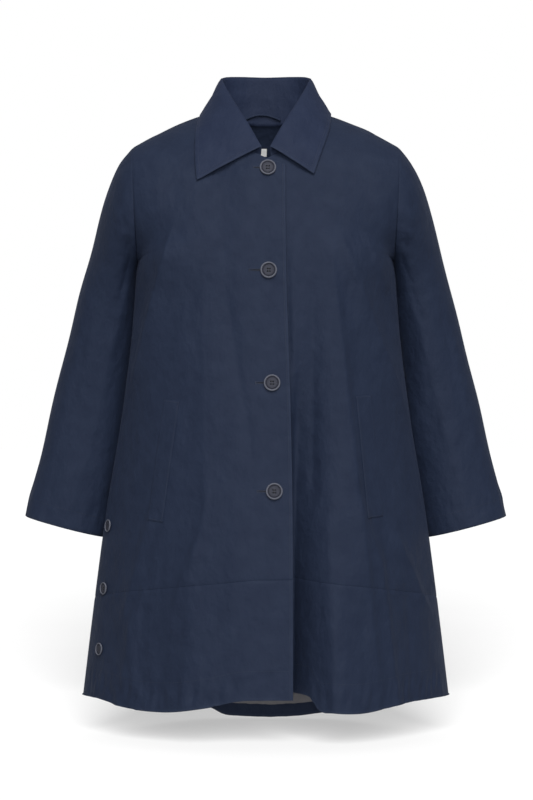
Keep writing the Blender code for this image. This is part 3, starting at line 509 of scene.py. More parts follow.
def side_point(level, front):
    """Where a row ends: on the side seam, and above the underarm on the armhole."""
    if level <= UNDERARM_LEVEL:
        return np.array([read(SIDES, name, level) for name in ("half_width", "y", "z")])
    angle = math.pi * (level - UNDERARM_LEVEL) / (SHOULDER_LEVEL - UNDERARM_LEVEL)
    x, z = ARMHOLE_BOTTOM + (1 - math.cos(angle)) / 2 * (ARMHOLE_TOP - ARMHOLE_BOTTOM)
    depth = ARMHOLE_HALF_DEPTH * abs(math.sin(angle)) ** ARMHOLE_FULLNESS
    return np.array((x, -depth if front else depth, z))


def front_start(side, level):
    """Where a front's row starts: on its front edge, and above the corner on the neckline."""
    low = min(level, CORNER_LEVEL)
    edge_z = read(CENTRES, "edge_z", low)
    edge = np.array((side * button_line_x(edge_z) - LAP_WIDTH, -read(CENTRES, "front_depth", low), edge_z))
    if level <= CORNER_LEVEL:
        return edge
    neckline = np.array(((CORNER_LEVEL, *edge),) + FRONT_NECKLINE)
    return smooth(neckline[:, 0], neckline[:, 1:], level)


def row_curve(start, end, level, shares, ease_name):
    """One row of a panel, curved in plan from its start to its end, read at shares of its length."""
    shape = {name: read(ROWS, name, level) for name in ROWS}
    wide, deep = np.abs(end - start)[:2]
    towards = 1.0 if end[1] >= start[1] else -1.0
    handles = []
    for place in ("start", "end"):
        turn = math.radians(shape[place + "_turn"])
        reach = shape[place + "_fullness"] * (wide * math.cos(turn) + deep * math.sin(turn))
        handles.append(reach * np.array((math.cos(turn), towards * math.sin(turn))))
    plan = cubic(shares[:, None], start[:2], start[:2] + handles[0], end[:2] - handles[1], end[:2])
    ease = shape[ease_name]
    eased = 1 - (1 - shares) ** ease if ease_name == "front_ease" else shares ** ease
    height = start[2] + (end[2] - start[2]) * eased + 4 * shape["arch"] * shares * (1 - shares)
    return np.column_stack((plan, height))


def side_shares(count, length):
    """Shares of a row that are even but closer together beside the side seam, where the row ends."""
    near = 1.0 - NEAR_SEAM[::-1] / length
    return np.concatenate((np.linspace(0.0, near[0], count - len(near) + 2)[:-1], near))


def front_row(side, level):
    """One row of a front on the wearer's left (side 1) or right (side -1)."""
    start, end = front_start(side, level), side_point(level, True)
    edge_z = read(CENTRES, "edge_z", min(level, CORNER_LEVEL))
    lap_x = side * button_line_x(edge_z) + LAP_WIDTH
    flat = float(np.clip((lap_x - start[0]) / (2 * LAP_WIDTH), 0.0, 1.0))
    lap = np.array((2 * LAP_WIDTH * flat, 0.0, 0.0))
    index = np.arange(LAP_COLUMNS + CURVE_COLUMNS + 1)
    flat_columns = LAP_COLUMNS * flat
    along = np.clip((index - flat_columns) / (index[-1] - flat_columns), 0.0, 1.0) * CURVE_COLUMNS
    even = side_shares(CURVE_COLUMNS, np.linalg.norm(end - start))
    shares = np.interp(along, np.arange(CURVE_COLUMNS + 1), even)
    row = row_curve(start + lap, end, level, shares, "front_ease")
    row -= np.clip(1 - index / max(flat_columns, LEAST_LENGTH), 0.0, 1.0)[:, None] * lap
    return sided(row, side)


def back_neckline(shares):
    """The back neckline from the centre back (share 0) to the neck point (share 1)."""
    angles = shares * math.pi / 2
    rise = BACK_NECK[1] + (NECK_POINT[2] - BACK_NECK[1]) * np.sin(angles) ** 2
    return np.column_stack((NECK_POINT[0] * np.sin(angles), BACK_NECK[0] * np.cos(angles), rise))


def half_back_row(level):
    """One row of the back from its centre to the wearer's left side."""
    low = min(level, NECK_LEVEL)
    end = side_point(low, False)
    start = np.array((0.0, read(CENTRES, "back_depth", low), read(CENTRES, "back_z", low)))
    shoulder = side_point(SHOULDER_LEVEL, True)
    even = side_shares(BACK_COLUMNS, np.linalg.norm(shoulder - NECK_POINT))
    top = np.vstack((back_neckline(np.linspace(0.0, 1.0, NECK_COLUMNS + 1)[:-1]),
                     row_curve(NECK_POINT, shoulder, SHOULDER_LEVEL, even, "front_ease")))
    even = side_shares(BACK_COLUMNS + NECK_COLUMNS, np.linalg.norm(end - start))
    shares = even + (top[:, 0] / top[-1, 0] - even) * soft_step(UNDERARM_LEVEL, SHOULDER_LEVEL, low)
    rise = max(level - NECK_LEVEL, 0.0) / (SHOULDER_LEVEL - NECK_LEVEL)
    row = (1 - rise) * row_curve(start, end, low, shares, "back_ease") + rise * top
    row[-1] = side_point(level, False)
    return row


def panel_levels():
    """Levels of the rows from the hem to the shoulder, closer together beside the hem and the cross seam."""
    beside = NEAR_SEAM / (CENTRES["edge_z"][1] - CENTRES["edge_z"][0])
    lower = np.linspace(beside[-1], SEAM_LEVEL - beside[-1], LOWER_STEPS)
    upper = np.linspace(SEAM_LEVEL + beside[-1], UNDERARM_LEVEL, UPPER_STEPS)
    armhole = np.linspace(UNDERARM_LEVEL, SHOULDER_LEVEL, ARMHOLE_STEPS + 1)
    return np.concatenate((beside[:-1], lower, SEAM_LEVEL - beside[-2::-1], SEAM_LEVEL + beside[1:-1],
                           upper, armhole[1:]))


def sleeve_ring(side, along, angles):
    """One ring of a sleeve, from its outer edge round by the front."""
    size = {name: read(SLEEVE_RINGS, name, along) for name in SLEEVE_RINGS}
    outer = np.array((size["outer_x"], 0.0, size["outer_z"]))
    inner = np.array((size["inner_x"], 0.0, size["inner_z"]))
    middle = (outer + inner) / 2 + np.array((0.0, size["middle_y"], 0.0))
    fullness = ARMHOLE_FULLNESS + (1 - ARMHOLE_FULLNESS) * soft_step(0.0, ARMHOLE_FADE, along)
    across = np.sign(np.sin(angles)) * np.abs(np.sin(angles)) ** fullness
    deep = np.array((0.0, size["half_depth"], 0.0))
    return sided(middle + np.cos(angles)[:, None] * (outer - inner) / 2 - across[:, None] * deep, side)


def ridge_height(flat, ends, height1, height2, left_width, right_width):
    """Height over places in the plane of a ridge between two ends, with a width to each side of it."""
    run = ends[2:] - ends[:2]
    length = np.linalg.norm(run)
    way = run / length
    offset = flat - ends[:2]
    along = offset @ way / length
    to_left = offset[..., 0] * way[1] - offset[..., 1] * way[0]
    width = np.where(to_left > 0, left_width, right_width)
    fade = soft_step(-FOLD_END, FOLD_END, along) * soft_step(-FOLD_END, FOLD_END, 1 - along)
    height = height1 + (height2 - height1) * np.clip(along, 0.0, 1.0)
    return height * fade * np.exp(-np.abs(to_left / width) ** FOLD_POWER)


def folds_height(grid, folds):
    """How far some folds lift the points of a grid, seen from the front or back."""
    return sum(ridge_height(grid[..., (0, 2)], np.array(fold[:4]), *fold[4:]) for fold in folds)


def ripples(places, length, seed):
    """Uneven waves of height about one over places in the plane, of about one length."""
    chance = np.random.default_rng(seed)
    total = np.zeros(places.shape[:-1])
    for _ in range(RIPPLE_WAVES):
        angle = chance.uniform(0.0, math.tau)
        pitch = length * chance.uniform(*RIPPLE_PITCHES)
        way = np.array((math.cos(angle), math.sin(angle))) * math.tau / pitch
        total += np.sin(places @ way + chance.uniform(0.0, math.tau))
    return total / math.sqrt(RIPPLE_WAVES / 2)


def cloth_ripples(grid, seed):
    """The long low ripples of loose cloth."""
    return RIPPLE_HEIGHT * ripples(grid[..., (0, 2)] * RIPPLE_RUN, RIPPLE_LENGTH, seed)


def puckers(distance, along, width, seed):
    """Small uneven gathers across a line of sewing, at distances from it and along it."""
    places = np.stack((along, PUCKER_RUN * distance), axis=-1)
    return PUCKER_HEIGHT * ripples(places, PUCKER_LENGTH, seed) * hump(distance, width)


def lengths_along(grid, axis):
    """Distances along the rows (axis 1) or columns (axis 0) of a grid from where they start."""
    total = np.cumsum(np.linalg.norm(np.diff(grid, axis=axis), axis=-1), axis=axis)
    return np.concatenate((np.zeros_like(np.take(total, [0], axis=axis)), total), axis=axis)


def grid_normals(grid, closed=False):
    """Outward normals at the points of a grid."""
    if closed:
        across = np.roll(grid, -1, axis=1) - np.roll(grid, 1, axis=1)
    else:
        across = np.gradient(grid, axis=1)
    return unit(np.cross(across, np.gradient(grid, axis=0)))


def panel_lift(panel, grid, seam_row):
    """How far folds, seams and sewing lift the points of a panel off its smooth form."""
    ripple_seed, hem_seed, seam_seed = PANEL_SEEDS[panel]
    up, over = lengths_along(grid, 0), lengths_along(grid, 1)
    left, right = over, over[:, -1:] - over
    from_side = {"left": right, "right": left, "back": np.minimum(left, right)}[panel]
    share = np.linspace(0.0, 1.0, grid.shape[1])
    side_share = {"left": 1 - share, "right": share, "back": 2 * np.minimum(share, 1 - share)}[panel]
    loose = soft_step(*LOOSE_FROM_SIDE, from_side)
    if panel != "back":
        loose = loose * soft_step(*LOOSE_FROM_EDGE, left if panel == "left" else right)
    from_seam = up - up[seam_row]
    lift = folds_height(grid, FOLDS[panel]) * soft_step(0.0, FOLD_SHOULDER_FADE, np.abs(grid[..., 1]))
    lift = lift * soft_step(0.0, FOLD_EDGE_SHARE, side_share) + loose * cloth_ripples(grid, ripple_seed)
    for distance in (from_side, from_seam, up[-1] - up):
        lift -= GROOVE_DEPTH * hump(distance, GROOVE_WIDTH)
    lift += UNDERARM_PUFF * hump(np.hypot(grid[..., 2] - UNDERARM_Z, from_side), UNDERARM_SPREAD)
    lift += HEM_PUCKER * puckers(up - HEM_PUCKER_AT, over, HEM_PUCKER_WIDTH, hem_seed) * loose
    return lift + SEAM_PUCKER * puckers(from_seam, over, SEAM_PUCKER_WIDTH, seam_seed) * loose


def draped_panel(panel, levels, seam_row):
    """A front or the back with its hem line, folds and sewing. The right front is lifted off the left one."""
    if panel == "back":
        half = np.array([half_back_row(level) for level in levels])
        grid = np.concatenate((half[:, ::-1], sided(half[:, 1:], -1.0)), axis=1)
    else:
        grid = np.array([front_row(1.0 if panel == "left" else -1.0, level) for level in levels])
    drop = np.array([read(HEMS[panel], "z", x) for x in grid[0, :, 0]]) - grid[0, :, 2]
    grid[..., 2] += np.clip(SEAM_LEVEL - levels, 0.0, 1.0)[:, None] * drop
    if panel == "right":
        grid = grid[:, ::-1]
    lift = panel_lift(panel, grid, seam_row)
    recess = 0.0
    if panel == "right":
        lift += LAP * soft_step(*LAP_FADE, grid[..., 0])
    if panel == "left":
        lap_edge = np.array([button_line_x(z) for z in grid[:, 0, 2]]) + LAP_WIDTH
        dent = EDGE_DENT * soft_step(*EDGE_DENT_FADE, grid[..., 2])
        lift -= dent * hump(grid[..., 0] - lap_edge[:, None], EDGE_DENT_WIDTH)
        recess = folds_height(grid, (RECESS,))
    draped = grid + grid_normals(grid) * lift[..., None]
    draped[..., 1] += recess
    return draped


def draped_sleeve(name):
    """A sleeve with its creases, seam and cuff hem."""
    ripple_seed, cuff_seed = SLEEVE_SEEDS[name]
    alongs = np.linspace(*SLEEVE_RINGS["ring"][[0, -1]], SLEEVE_STEPS + 1)
    turns = np.linspace(0.0, math.tau, 2 * ARMHOLE_STEPS + 1)[:-1]
    grid = np.array([sleeve_ring(1.0 if name == "left" else -1.0, along, turns) for along in alongs])
    flat = np.stack(np.meshgrid(alongs * SLEEVE_RING_LENGTH, turns * SLEEVE_RADIUS, indexing="ij"), axis=-1)
    lift = np.zeros(flat.shape[:-1])
    for ring1, turn1, ring2, turn2, height, width in SLEEVE_CREASES[name]:
        ends = np.array((ring1, math.radians(turn1), ring2, math.radians(turn2)))
        ends *= np.tile((SLEEVE_RING_LENGTH, SLEEVE_RADIUS), 2)
        lift += ridge_height(flat, ends, height, height, width, width)
    if name == "right":
        grid, lift = grid[:, ::-1], lift[:, ::-1]
    down = lengths_along(grid, 0)
    lift = (lift + cloth_ripples(grid, ripple_seed)) * soft_step(*SLEEVE_LOOSE, down)
    lift -= GROOVE_DEPTH * hump(down, GROOVE_WIDTH)
    from_stitches = down[-1] - down - CUFF_DEPTH
    lift += puckers(from_stitches, lengths_along(grid, 1), HEM_PUCKER_WIDTH, cuff_seed)
    return grid + grid_normals(grid, True) * lift[..., None]


def mesh_object(name, points, faces, material):
    """A smooth mesh object from points in millimetres and faces of one size."""
    mesh = bpy.data.meshes.new(name)
    count, corners = faces.shape
    mesh.vertices.add(len(points))
    mesh.vertices.foreach_set("co", (points * MM).astype(np.float32).reshape(-1))
    mesh.loops.add(count * corners)
    mesh.loops.foreach_set("vertex_index", faces.reshape(-1).astype(np.int32))
    mesh.polygons.add(count)
    mesh.polygons.foreach_set("loop_start", np.arange(0, count * corners, corners, dtype=np.int32))
    mesh.update(calc_edges=True)
    mesh.validate()
    mesh.shade_smooth()
    return place_mesh(name, mesh, material)


def place_mesh(name, mesh, material):
    """An object of the coat that shows a mesh in a material."""
    mesh.materials.append(material)
    thing = bpy.data.objects.new(name, mesh)
    bpy.context.scene.collection.objects.link(thing)
    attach(thing, "root")
    return thing


def give_cloth_places(mesh, flat):
    """Lays the threads out: each corner gets its place in the flat cloth."""
    corners = np.zeros(len(mesh.loops), dtype=np.int32)
    mesh.loops.foreach_get("vertex_index", corners)
    places = (flat[corners] * MM).astype(np.float32)
    mesh.uv_layers.new(name="threads").data.foreach_set("uv", places.reshape(-1))


def give_wear_and_highlight(mesh, wear_and_highlight):
    """Keeps how far each point of a mesh is paled by wear and painted highlight."""
    mesh.attributes.new("wear_and_highlight", "FLOAT", "POINT").data.foreach_set("value", wear_and_highlight)


def edge_shares(grid, free):
    """How near each point lies to a free edge, from 0 in the cloth to 1 on the edge."""
    up, over = lengths_along(grid, 0), lengths_along(grid, 1)
    nearest = np.full(up.shape, np.inf)
    for distance, is_free in zip((up, over[:, -1:] - over, up[-1] - up, over), free):
        if is_free:
            nearest = np.minimum(nearest, distance)
    return hump(nearest, EDGE_WEAR_AND_HIGHLIGHT_WIDTH)


def cloth_shell(name, grid, thickness, material, free, closed):
    """A thin shell of cloth inside a grid of points, with round free edges (lower, right, upper, left)."""
    bulge = thickness * EDGE_BULGE
    step = 2 if closed else 1
    drawn = grid.copy()
    for (edge, beside), is_free in zip(EDGES[::step], free[::step]):
        drawn[edge] += (bulge if is_free else SEAM_GAP) * unit(grid[beside] - grid[edge])
    grid, ways = drawn, np.zeros_like(grid)
    for edge, beside in EDGES[::step]:
        ways[edge] += unit(grid[edge] - grid[beside])
    ways = unit(ways).reshape(-1, 3)
    rows, columns = grid.shape[:2]
    layer = rows * columns
    outside = grid.reshape(-1, 3)
    inside = (grid - grid_normals(grid, closed) * thickness).reshape(-1, 3)
    index = np.arange(layer).reshape(rows, columns)
    right = np.roll(index, -1, axis=1) if closed else index[:, 1:]
    left = index if closed else index[:, :-1]
    cells = np.stack((left[:-1], right[:-1], right[1:], left[1:]), axis=-1).reshape(-1, 4)
    faces = [cells, cells[:, ::-1] + layer]
    # how far each point is paled near a free edge: part wear, part painted highlight
    wear_and_highlight = edge_shares(grid, free).reshape(-1)
    points = [outside, inside]
    sources = [np.arange(layer), np.arange(layer)]
    if closed:
        loops = (index[0], index[-1][::-1])
    else:
        loops = (np.concatenate((index[0, :-1], index[:-1, -1], index[-1, :0:-1], index[:0:-1, 0])),)
    for loop in loops:
        middle = sum(map(len, points)) + np.arange(len(loop))
        out = ways[loop] * np.where(wear_and_highlight[loop] > ON_EDGE, bulge, 0.0)[:, None]
        points.append((outside[loop] + inside[loop]) / 2 + out)
        sources.append(loop)
        after, middle_after = np.roll(loop, -1), np.roll(middle, -1)
        faces.append(np.stack((after, loop, middle, middle_after), axis=-1))
        faces.append(np.stack((middle_after, middle, loop + layer, after + layer), axis=-1))
    source = np.concatenate(sources)
    thing = mesh_object(name, np.concatenate(points), np.concatenate(faces), material)
    over = lengths_along(grid, 1)
    if not closed:
        centre = [int(np.argmin(np.abs(grid[..., 0]).mean(axis=0)))]
        over = over - over[:, centre] + grid[:, centre, 0]
    flat = np.stack((over, lengths_along(grid, 0)), axis=-1).reshape(-1, 2)
    give_cloth_places(thing.data, flat[source])
    give_wear_and_highlight(thing.data, wear_and_highlight[source])
    return thing


def sheet(node, ending, grid, thickness, material, slot, free, held, rests_on, closed=False):
    """A shell of cloth that stands for a node of the frame and hides the imported part of that node."""
    cloth = cloth_shell(node + ending, grid, thickness, material, free, closed)
    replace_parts(cloth, node)


def surface_tree(*grids):
    """A search tree over the outer faces of some panels."""
    points, faces = [], []
    for grid in grids:
        rows, columns = grid.shape[:2]
        index = np.arange(rows * columns).reshape(rows, columns) + len(points)
        cells = np.stack((index[:-1, :-1], index[:-1, 1:], index[1:, 1:], index[1:, :-1]), axis=-1)
        points += grid.reshape(-1, 3).tolist()
        faces += cells.reshape(-1, 4).tolist()
    return BVHTree.FromPolygons(points, faces)


def looked_at(tree, x, z, from_y=LOOK_FROM_Y):
    """The first cloth that is met at x and z on the way back: its point and outward normal."""
    point, normal, _, _ = tree.ray_cast(Vector((x, from_y, z)), Vector((0.0, 1.0, 0.0)))
    return np.array(point), np.array(normal)


def collar_value(line, place):
    """A point of one of the collar's lines, read smoothly. The lines run on past the centre back."""
    points = np.array(COLLAR_LINES[line], dtype=float)
    knots = np.append(COLLAR_PLACES, 2 * COLLAR_PLACES[-1] - COLLAR_PLACES[-2])
    return smooth(knots, np.vstack((points, sided(points[-2], -1.0))), place)


def lifted(tree, point, lift):
    """A point moved out until it clears the coat by a lift. One that lies past an edge stays."""
    nearest, normal, _, _ = tree.find_nearest(Vector(point))
    offset = Vector(point) - nearest
    height = offset.dot(normal)
    if (offset - height * normal).length > PAST_EDGE * offset.length:
        return point
    return point + max(0.0, lift - height) * np.array(normal)


def clear_of_coat(tree, grid, thickness, clearance):
    """A grid whose hidden side is lifted until it clears the coat."""
    grid = grid.copy()
    for _ in range(CLEARING_ROUNDS):
        hidden = (grid - grid_normals(grid) * thickness).reshape(-1, 3)
        moved = np.array([lifted(tree, point, clearance) for point in hidden])
        grid += (moved - hidden).reshape(grid.shape)
    return grid


def collar_section(tree, side, place):
    """One section through the collar, from the edge of its leaf over the roll down to the neckline."""
    crest = sided(collar_value("crest", place), side)
    edge = sided(collar_value("left" if side > 0 else "right", place), side)
    behind = collar_value("crest", max(place - CREST_STEP, COLLAR_PLACES[0]))
    run = unit(sided(collar_value("crest", place + CREST_STEP) - behind, side))
    if place <= 1.0:
        first = FRONT_NECKLINE[0][0]
        foot = front_start(side, first + place * (SHOULDER_LEVEL - first))
    else:
        foot = back_neckline(np.array((COLLAR_PLACES[-1] - place,)))[0]
    foot = sided(foot, side)
    foot = foot - STAND_INSET * unit(foot * np.array((1.0, 1.0, 0.0))) - np.array((0.0, 0.0, STAND_DROP))
    out = unit(np.cross(run, foot - crest))
    out = out if out @ (edge - crest) > 0 else -out
    nearest, normal, _, _ = tree.find_nearest(Vector(edge))
    edge = np.array(nearest) + COLLAR_LIFT * np.array(normal)
    spring = crest + COLLAR_PUFF * out
    fall = []
    for t in np.linspace(0.0, 1.0, FALL_STEPS + 1):
        point = cubic(t, crest, spring, (spring + edge) / 2, edge)
        fall.append(lifted(tree, point, COLLAR_LIFT * soft_step(*FALL_FREE, t)))
    stand = [foot + t * (crest - foot) for t in np.linspace(0.0, 1.0, STAND_STEPS + 1)[:-1]]
    return np.array(fall[::-1] + stand[::-1])


def collar_grid(tree):
    """The collar's visible side, from the wearer's left end round the back to the right end."""
    places = np.linspace(0.0, COLLAR_PLACES[-1], COLLAR_STEPS + 1)
    left = [collar_section(tree, 1.0, place) for place in places]
    right = [collar_section(tree, -1.0, place) for place in places[:-1]]
    grid = np.array(left + right[::-1]).transpose(1, 0, 2)
    grid[:FALL_STEPS + 1] = clear_of_coat(tree, grid[:FALL_STEPS + 1], COLLAR_WALL, STAND_LIFT)
    up, over = lengths_along(grid, 0), lengths_along(grid, 1)
    crest = up[FALL_STEPS]
    slack = hump(up - (crest + up[-1]) / 2, STAND_CREASE_WIDTH)
    places = np.stack((over, up), axis=-1) * STAND_CREASE_RUN
    lift = STAND_CREASE * slack * ripples(places, RIPPLE_LENGTH, COLLAR_SEEDS[0])
    leaf = soft_step(*COLLAR_LOOSE, up) * soft_step(*COLLAR_LOOSE, crest - up)
    lift += COLLAR_RIPPLE * leaf * ripples(grid[..., (0, 2)], COLLAR_RIPPLE_LENGTH, COLLAR_SEEDS[1])
    from_edge = np.minimum(np.minimum(over, over[:, -1:] - over), up)
    sewn = hump(from_edge - COLLAR_STITCH, STITCH_GROOVE_WIDTH)
    sewn[COLLAR_STITCH_ROWS:] = 0.0
    return grid + grid_normals(grid) * (lift - STITCH_GROOVE * sewn)[..., None]


def read_line(at, along, values):
    """Points or ways along a line, read at one or more distances."""
    return np.stack([np.interp(at, along, values[:, k]) for k in range(3)], axis=-1)


def line_across(grid, distance, axis, far=False):
    """Points and normals of a grid at a distance along its rows (axis 1) or its columns (axis 0)."""
    normals = grid_normals(grid)
    if axis == 0:
        grid, normals = grid.transpose(1, 0, 2), normals.transpose(1, 0, 2)
    points, outs = [], []
    for line, out, along in zip(grid, normals, lengths_along(grid, 1)):
        at = along[-1] - distance if far else distance
        points.append(read_line(at, along, line))
        outs.append(read_line(at, along, out))
    return np.array(points), unit(np.array(outs))


def stitches(name, starts, ends, outs, radius, material, slot="navy_cloth"):
    """A piece of many stitches, each a short thread that dips into the cloth at both ends."""
    along = ends - starts
    side = unit(np.cross(outs, along))
    ways = (side, outs, -side, -outs)
    points = [starts - outs * radius * STITCH_SINK]
    for share, thick in STITCH_RINGS:
        middle = starts + along * share + outs * radius * STITCH_RISE * thick
        points += [middle + way * radius * thick for way in ways]
    points.append(ends - outs * radius * STITCH_SINK)
    points = np.stack(points, axis=1)
    size, sides = points.shape[1], len(ways)
    last = size - 1 - sides
    faces = []
    for k in range(sides):
        m = (k + 1) % sides
        faces.append((0, 1 + m, 1 + k))
        for low in range(1, last, sides):
            high = low + sides
            faces += [(low + k, low + m, high + m), (low + k, high + m, high + k)]
        faces.append((last + k, last + m, size - 1))
    faces = np.array(faces) + size * np.arange(len(points))[:, None, None]
    mesh_object(name, points.reshape(-1, 3), faces.reshape(-1, 3), material)


def stitching(name, lines, material, radius=STITCH_RADIUS):
    """One piece of sewing along several lines of points and outward ways."""
    rows = []
    for points, outs in lines:
        along = lengths_along(points, 0)
        count = max(int(along[-1] / STITCH_PITCH), 1)
        pitch = along[-1] / count
        firsts = (np.arange(count) + (1 - STITCH_SHARE) / 2) * pitch
        lasts = firsts + STITCH_SHARE * pitch
        rows.append((read_line(firsts, along, points), read_line(lasts, along, points),
                     unit(read_line((firsts + lasts) / 2, along, outs))))
    stitches(name, *(np.concatenate(parts) for parts in zip(*rows)), radius, material)


def button_mesh(name, radius):
    """A turned button with a raised rim, a groove, a dished middle and four holes."""
    size = radius * MM
    profile = bpy.data.meshes.new(name + "_profile")
    points = [(r * size, 0.0, h * BUTTON_HEIGHT * size) for r, h in BUTTON_SHAPE]
    profile.from_pydata(points, [(i, i + 1) for i in range(len(points) - 1)], [])
    holes = bmesh.new()
    for across in (-1, 1):
        for up in (-1, 1):
            made = bmesh.ops.create_cone(holes, cap_ends=True, segments=BUTTON_HOLE_SIDES, depth=size,
                                         radius1=BUTTON_HOLE_RADIUS * size, radius2=BUTTON_HOLE_RADIUS * size)
            shift = Vector((across, up, 0.0)) * BUTTON_HOLE_SPREAD * size
            bmesh.ops.translate(holes, verts=made["verts"], vec=shift)
    hole_mesh = bpy.data.meshes.new(name + "_holes")
    holes.to_mesh(hole_mesh)
    holes.free()
    turned = bpy.data.objects.new(name, profile)
    cutter = bpy.data.objects.new(name + "_holes", hole_mesh)
    for thing in (turned, cutter):
        bpy.context.scene.collection.objects.link(thing)
    screw = turned.modifiers.new("turn", "SCREW")
    screw.steps = screw.render_steps = BUTTON_STEPS
    screw.use_merge_vertices = True
    screw.merge_threshold = BUTTON_WELD * MM
    cut = turned.modifiers.new("holes", "BOOLEAN")
    cut.operation = "DIFFERENCE"
    cut.object = cutter
    bpy.context.view_layer.update()
    mesh = bpy.data.meshes.new_from_object(turned.evaluated_get(bpy.context.evaluated_depsgraph_get()))
    mesh.shade_smooth()
    mesh.set_sharp_from_angle(angle=math.radians(BUTTON_SHARP_ANGLE))
    out = np.linalg.norm(mesh_points(mesh)[:, :2], axis=1) / size
    # painted highlight: the rim and the dished middle are paled as if they caught the light
    highlighted_middle = FACE_HIGHLIGHT * (1 - soft_step(*BUTTON_FACE_SHARES, out))
    give_wear_and_highlight(mesh, soft_step(*RIM_HIGHLIGHT_SHARES, out) + highlighted_middle)
    for thing in (turned, cutter):
        bpy.data.objects.remove(thing, do_unlink=True)
    return mesh


def mesh_points(mesh):
    """The points of a mesh."""
    points = np.zeros(len(mesh.vertices) * 3)
    mesh.vertices.foreach_get("co", points)
    return points.reshape(-1, 3)


def sew_button(node, mesh, tree, x, z, radius, materials):
    """A button on the cloth where it comes to rest, with the thread through its holes."""
    spots = [looked_at(tree, x, z)]
    for angle in np.linspace(0.0, math.tau, REST_SPOTS, endpoint=False):
        spots.append(looked_at(tree, x + radius * math.cos(angle) * REST_SPREAD,
                               z + radius * math.sin(angle) * REST_SPREAD))
    way = unit(sum(normal for _, normal in spots))
    middle = spots[0][0]
    place = middle + way * (max((point - middle) @ way for point, _ in spots) + TRIM_LIFT)
    across = unit(np.cross(np.array((0.0, 0.0, 1.0)), way))
    up = np.cross(way, across)
    own = mesh.copy()
    own.name = node + "_turned"
    points = mesh_points(mesh) @ np.array((across, up, way)) + place * MM
    own.vertices.foreach_set("co", points.reshape(-1))
    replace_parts(place_mesh(node + "_turned", own, materials["button"]), node)
    spread = BUTTON_HOLE_SPREAD * radius
    top = place + way * BUTTON_HEIGHT * radius * BUTTON_MIDDLE
    heights = [side * spread + strand * radius for side in (-1, 1) for strand in THREAD_STRANDS]
    middles = top + np.outer(heights, up)
    reach = across * spread * THREAD_REACH
    stitches(node + "_thread", middles - reach, middles + reach, np.tile(way, (len(middles), 1)),
             THREAD_RADIUS * radius, materials["button_thread"], "dark_button")


def buttonhole(name, tree, x, z, reach, materials):
    """A sewn slit in the overlapping front, running from under a button away from the front edge."""
    spots = [looked_at(tree, at, z) for at in np.linspace(x + HOLE_PAST, x - reach, HOLE_STEPS)]
    points = np.array([point for point, _ in spots])
    way = unit(sum(normal for _, normal in spots))
    up = np.array((0.0, 0.0, HOLE_WIDTH / 2))
    slit = up * HOLE_SLIT / HOLE_WIDTH
    bar = points[-1] + np.linspace(-1.0, 1.0, HOLE_BAR)[:, None] * up
    starts = np.concatenate((points - slit, points + slit, bar))
    ends = np.concatenate((points - up, points + up, bar - np.array((HOLE_WIDTH / 2, 0.0, 0.0))))
    stitches(name, starts, ends, np.tile(way, (len(starts), 1)), HOLE_THREAD, materials["thread"])
    # a dark tube along the slit: painted shade in the cut
    stitches(name + "_slit", points[:1], points[-1:], way[None], SLIT_RADIUS, materials["slit"])


def feed(tree, node, values):
    """Gives the named inputs of a node a link or a plain value."""
    for label, value in values.items():
        socket = node.inputs[label]
        if isinstance(value, bpy.types.NodeSocket):
            tree.links.new(value, socket)
        else:
            socket.default_value = (*value, 1.0) if socket.type == "RGBA" else value


def add_node(tree, kind, values, **settings):
    """A new shader node with its settings and inputs."""
    node = tree.nodes.new("ShaderNode" + kind)
    for label, value in settings.items():
        setattr(node, label, value)
    feed(tree, node, values)
    return node


def calculate(tree, operation, *values):
    """A Math node's output."""
    return add_node(tree, "Math", dict(enumerate(values)), operation=operation).outputs[0]


def noise(tree, place, scale, detail, stretch=(1, 1, 1)):
    """Noise from 0 to 1 over a place, stretched along its axes."""
    mapping = add_node(tree, "Mapping", {"Vector": place, "Scale": stretch})
    values = {"Vector": mapping.outputs["Vector"], "Scale": scale, "Detail": detail}
    return add_node(tree, "TexNoise", values).outputs["Fac"]


def blend_colours(tree, share, first, second):
    """A colour between two."""
    values = {"Factor": share, MIX_FIRST: first, MIX_SECOND: second}
    return add_node(tree, "Mix", values, data_type="RGBA").outputs[MIX_RESULT]


def bump(tree, shader, height, strength=1, distance=1):
    """Raises a material's surface by a height."""
    node = add_node(tree, "Bump", {"Height": height, "Strength": strength, "Distance": distance})
    feed(tree, shader, {"Normal": node.outputs["Normal"]})


def new_group(name, inputs, outputs):
    """A shader node group with named inputs and outputs of some kinds."""
    tree = bpy.data.node_groups.new(name, "ShaderNodeTree")
    for way, sockets in (("INPUT", inputs), ("OUTPUT", outputs)):
        for label, kind in sockets.items():
            tree.interface.new_socket(name=label, in_out=way, socket_type="NodeSocket" + kind)
    return tree, tree.nodes.new("NodeGroupInput").outputs, tree.nodes.new("NodeGroupOutput")


def weave_group():
    """Height of a fine twill over the flat cloth."""
    tree, given, result = new_group("fine_twill", {"Place": "Vector", "Threads": "Float"},
                                    {"Height": "Float"})
    split = add_node(tree, "SeparateXYZ", {0: given["Place"]})
    turns = calculate(tree, "MULTIPLY", given["Threads"], math.tau)
    warp = calculate(tree, "MULTIPLY", split.outputs[0], turns)
    weft = calculate(tree, "MULTIPLY", split.outputs[1], turns)
    rib = calculate(tree, "SINE", calculate(tree, "ADD", warp, weft))
    grain = calculate(tree, "SINE", calculate(tree, "MULTIPLY", warp, GRAIN[0]))
    ribs = calculate(tree, "MULTIPLY_ADD", rib, *RIB)
    feed(tree, result, {"Height": calculate(tree, "MULTIPLY_ADD", grain, GRAIN[1], ribs)})
    return tree


